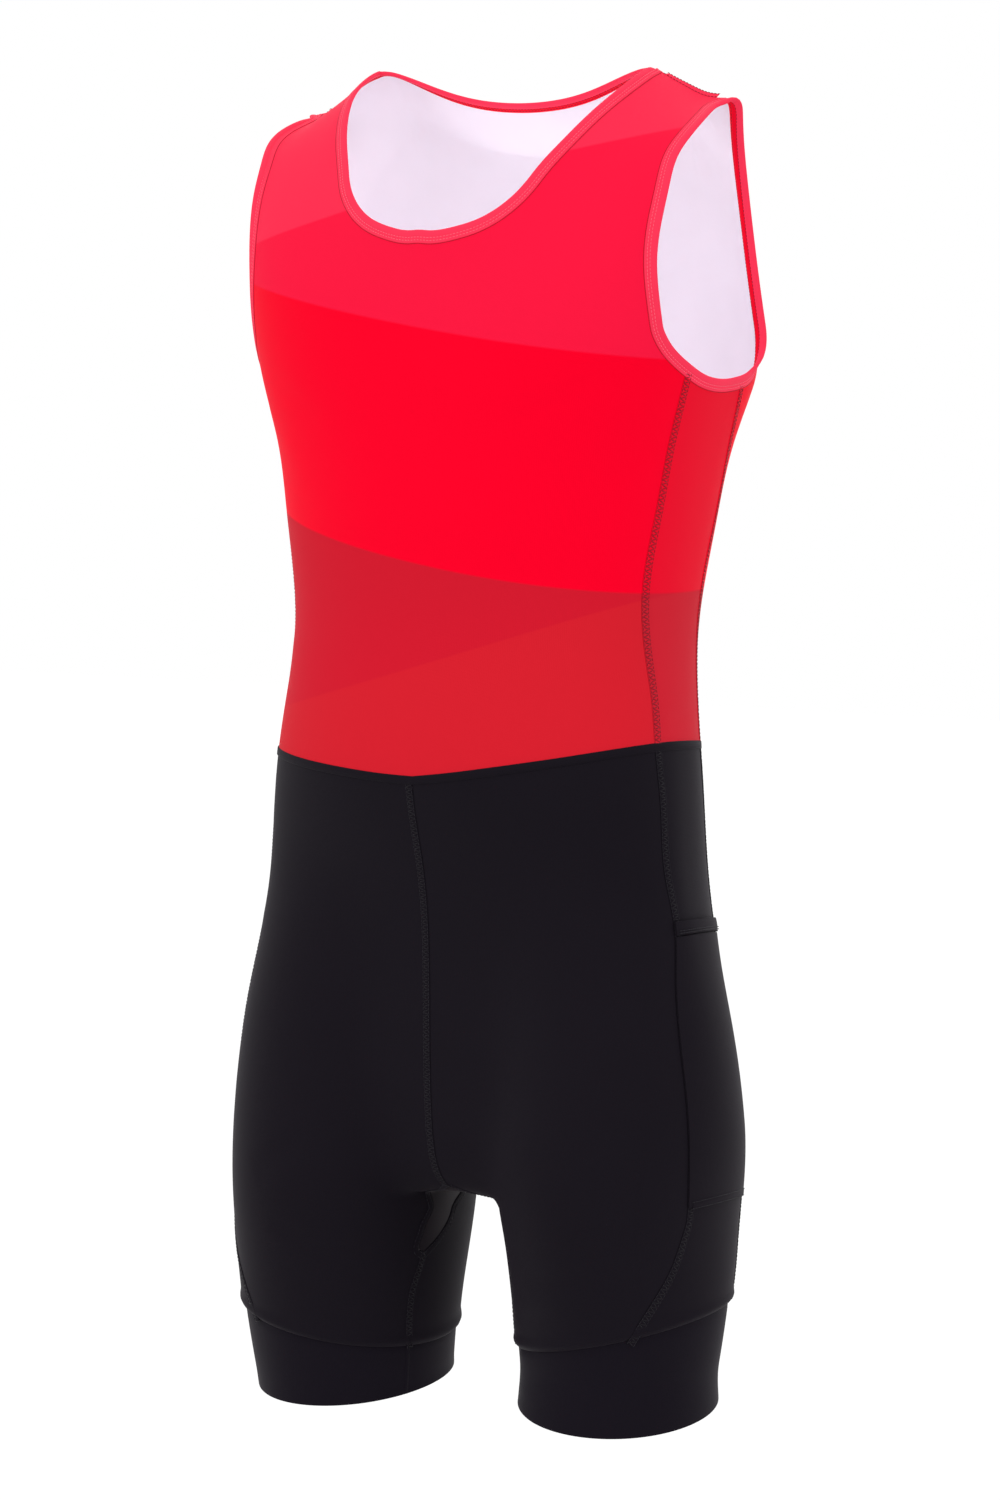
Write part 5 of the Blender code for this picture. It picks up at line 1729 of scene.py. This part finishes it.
FLOOR_HALF, FLOOR_Z = 6.0, -1.02       # metres
GLOW, GLOW_SHARE = 1.08, 0.9           # its light to the camera, and that light's share
floor_mesh = bpy.data.meshes.new("floor")
corners = [(x * FLOOR_HALF, y * FLOOR_HALF, FLOOR_Z)
           for x, y in ((-1, -1), (1, -1), (1, 1), (-1, 1))]
floor_mesh.from_pydata(corners, [], [(0, 1, 2, 3)])
placed("floor", floor_mesh)
paper, tree, shader = new_finish("pale_paper_floor")
shader.inputs["Base Color"].default_value = linear("F4F4F4")
shader.inputs["Roughness"].default_value = 0.9
glow = node(tree, "ShaderNodeEmission", values={"Color": (1, 1, 1, 1), "Strength": GLOW})
share = sum_of(tree, "MULTIPLY", ray_is_seen(tree), GLOW_SHARE)
both = node(tree, "ShaderNodeMixShader", {0: share, 1: shader.outputs["BSDF"],
                                         2: glow.outputs["Emission"]})
tree.links.new(both.outputs["Shader"], tree.nodes["Material Output"].inputs["Surface"])
floor_mesh.materials.append(paper)

# %% World
WORLD_ON_CLOTH = 0.60
world = bpy.data.worlds.new("studio")
bpy.context.scene.world = world
world.use_nodes = True
tree = world.node_tree
backing = tree.nodes["Background"]
backing.inputs["Color"].default_value = (1, 1, 1, 1)
strength = node(tree, "ShaderNodeMapRange", {"Value": ray_is_seen(tree)},
                {"To Min": WORLD_ON_CLOTH, "To Max": 1.0})
tree.links.new(strength.outputs["Result"], backing.inputs["Strength"])

# %% [markdown]
# Four wide softboxes stand round the suit: the strongest in front, a weaker one on each
# side and one behind. Each is a sun lamp with a very large angle, which gives the soft
# light of a big box at any distance.

# %% Lamps
LAMPS = Table(
    "azimuth height energy spread",
    (5.0, 42.0, 0.85, 100.0), (75.0, 15.0, 0.45, 90.0), (-60.0, 20.0, 0.35, 90.0),
    (180.0, 35.0, 0.60, 90.0),
)
for number, (azimuth, height, energy, spread) in enumerate(LAMPS.rows):
    lamp_data = bpy.data.lights.new(f"softbox_{number}", "SUN")
    lamp_data.energy, lamp_data.angle = energy, math.radians(spread)
    placed(lamp_data.name, lamp_data,
           turn=(math.radians(90 - height), 0, math.radians(azimuth)))

# %% [markdown]
# Two small softboxes hang inside the neck, back to back, so that the white inside is lit
# about as evenly as the outside. They light little else: the cloth is nearly all round.

# %% Softboxes inside
INNER_ENERGY, INNER_SIZE, INNER_Z = 0.10, (0.24, 0.16), -0.13
for number, (y, turn) in enumerate(((-0.055, 90.0), (0.045, -90.0))):
    lamp_data = bpy.data.lights.new(f"inner_softbox_{number}", "AREA")
    lamp_data.shape = "RECTANGLE"
    lamp_data.size, lamp_data.size_y = INNER_SIZE
    lamp_data.energy = INNER_ENERGY
    lamp = placed(lamp_data.name, lamp_data, (0, y, INNER_Z), (math.radians(turn), 0, 0))
    lamp.visible_camera = False

bpy.context.scene.view_settings.view_transform = "Standard"
print("lamps:", len(bpy.data.lights))
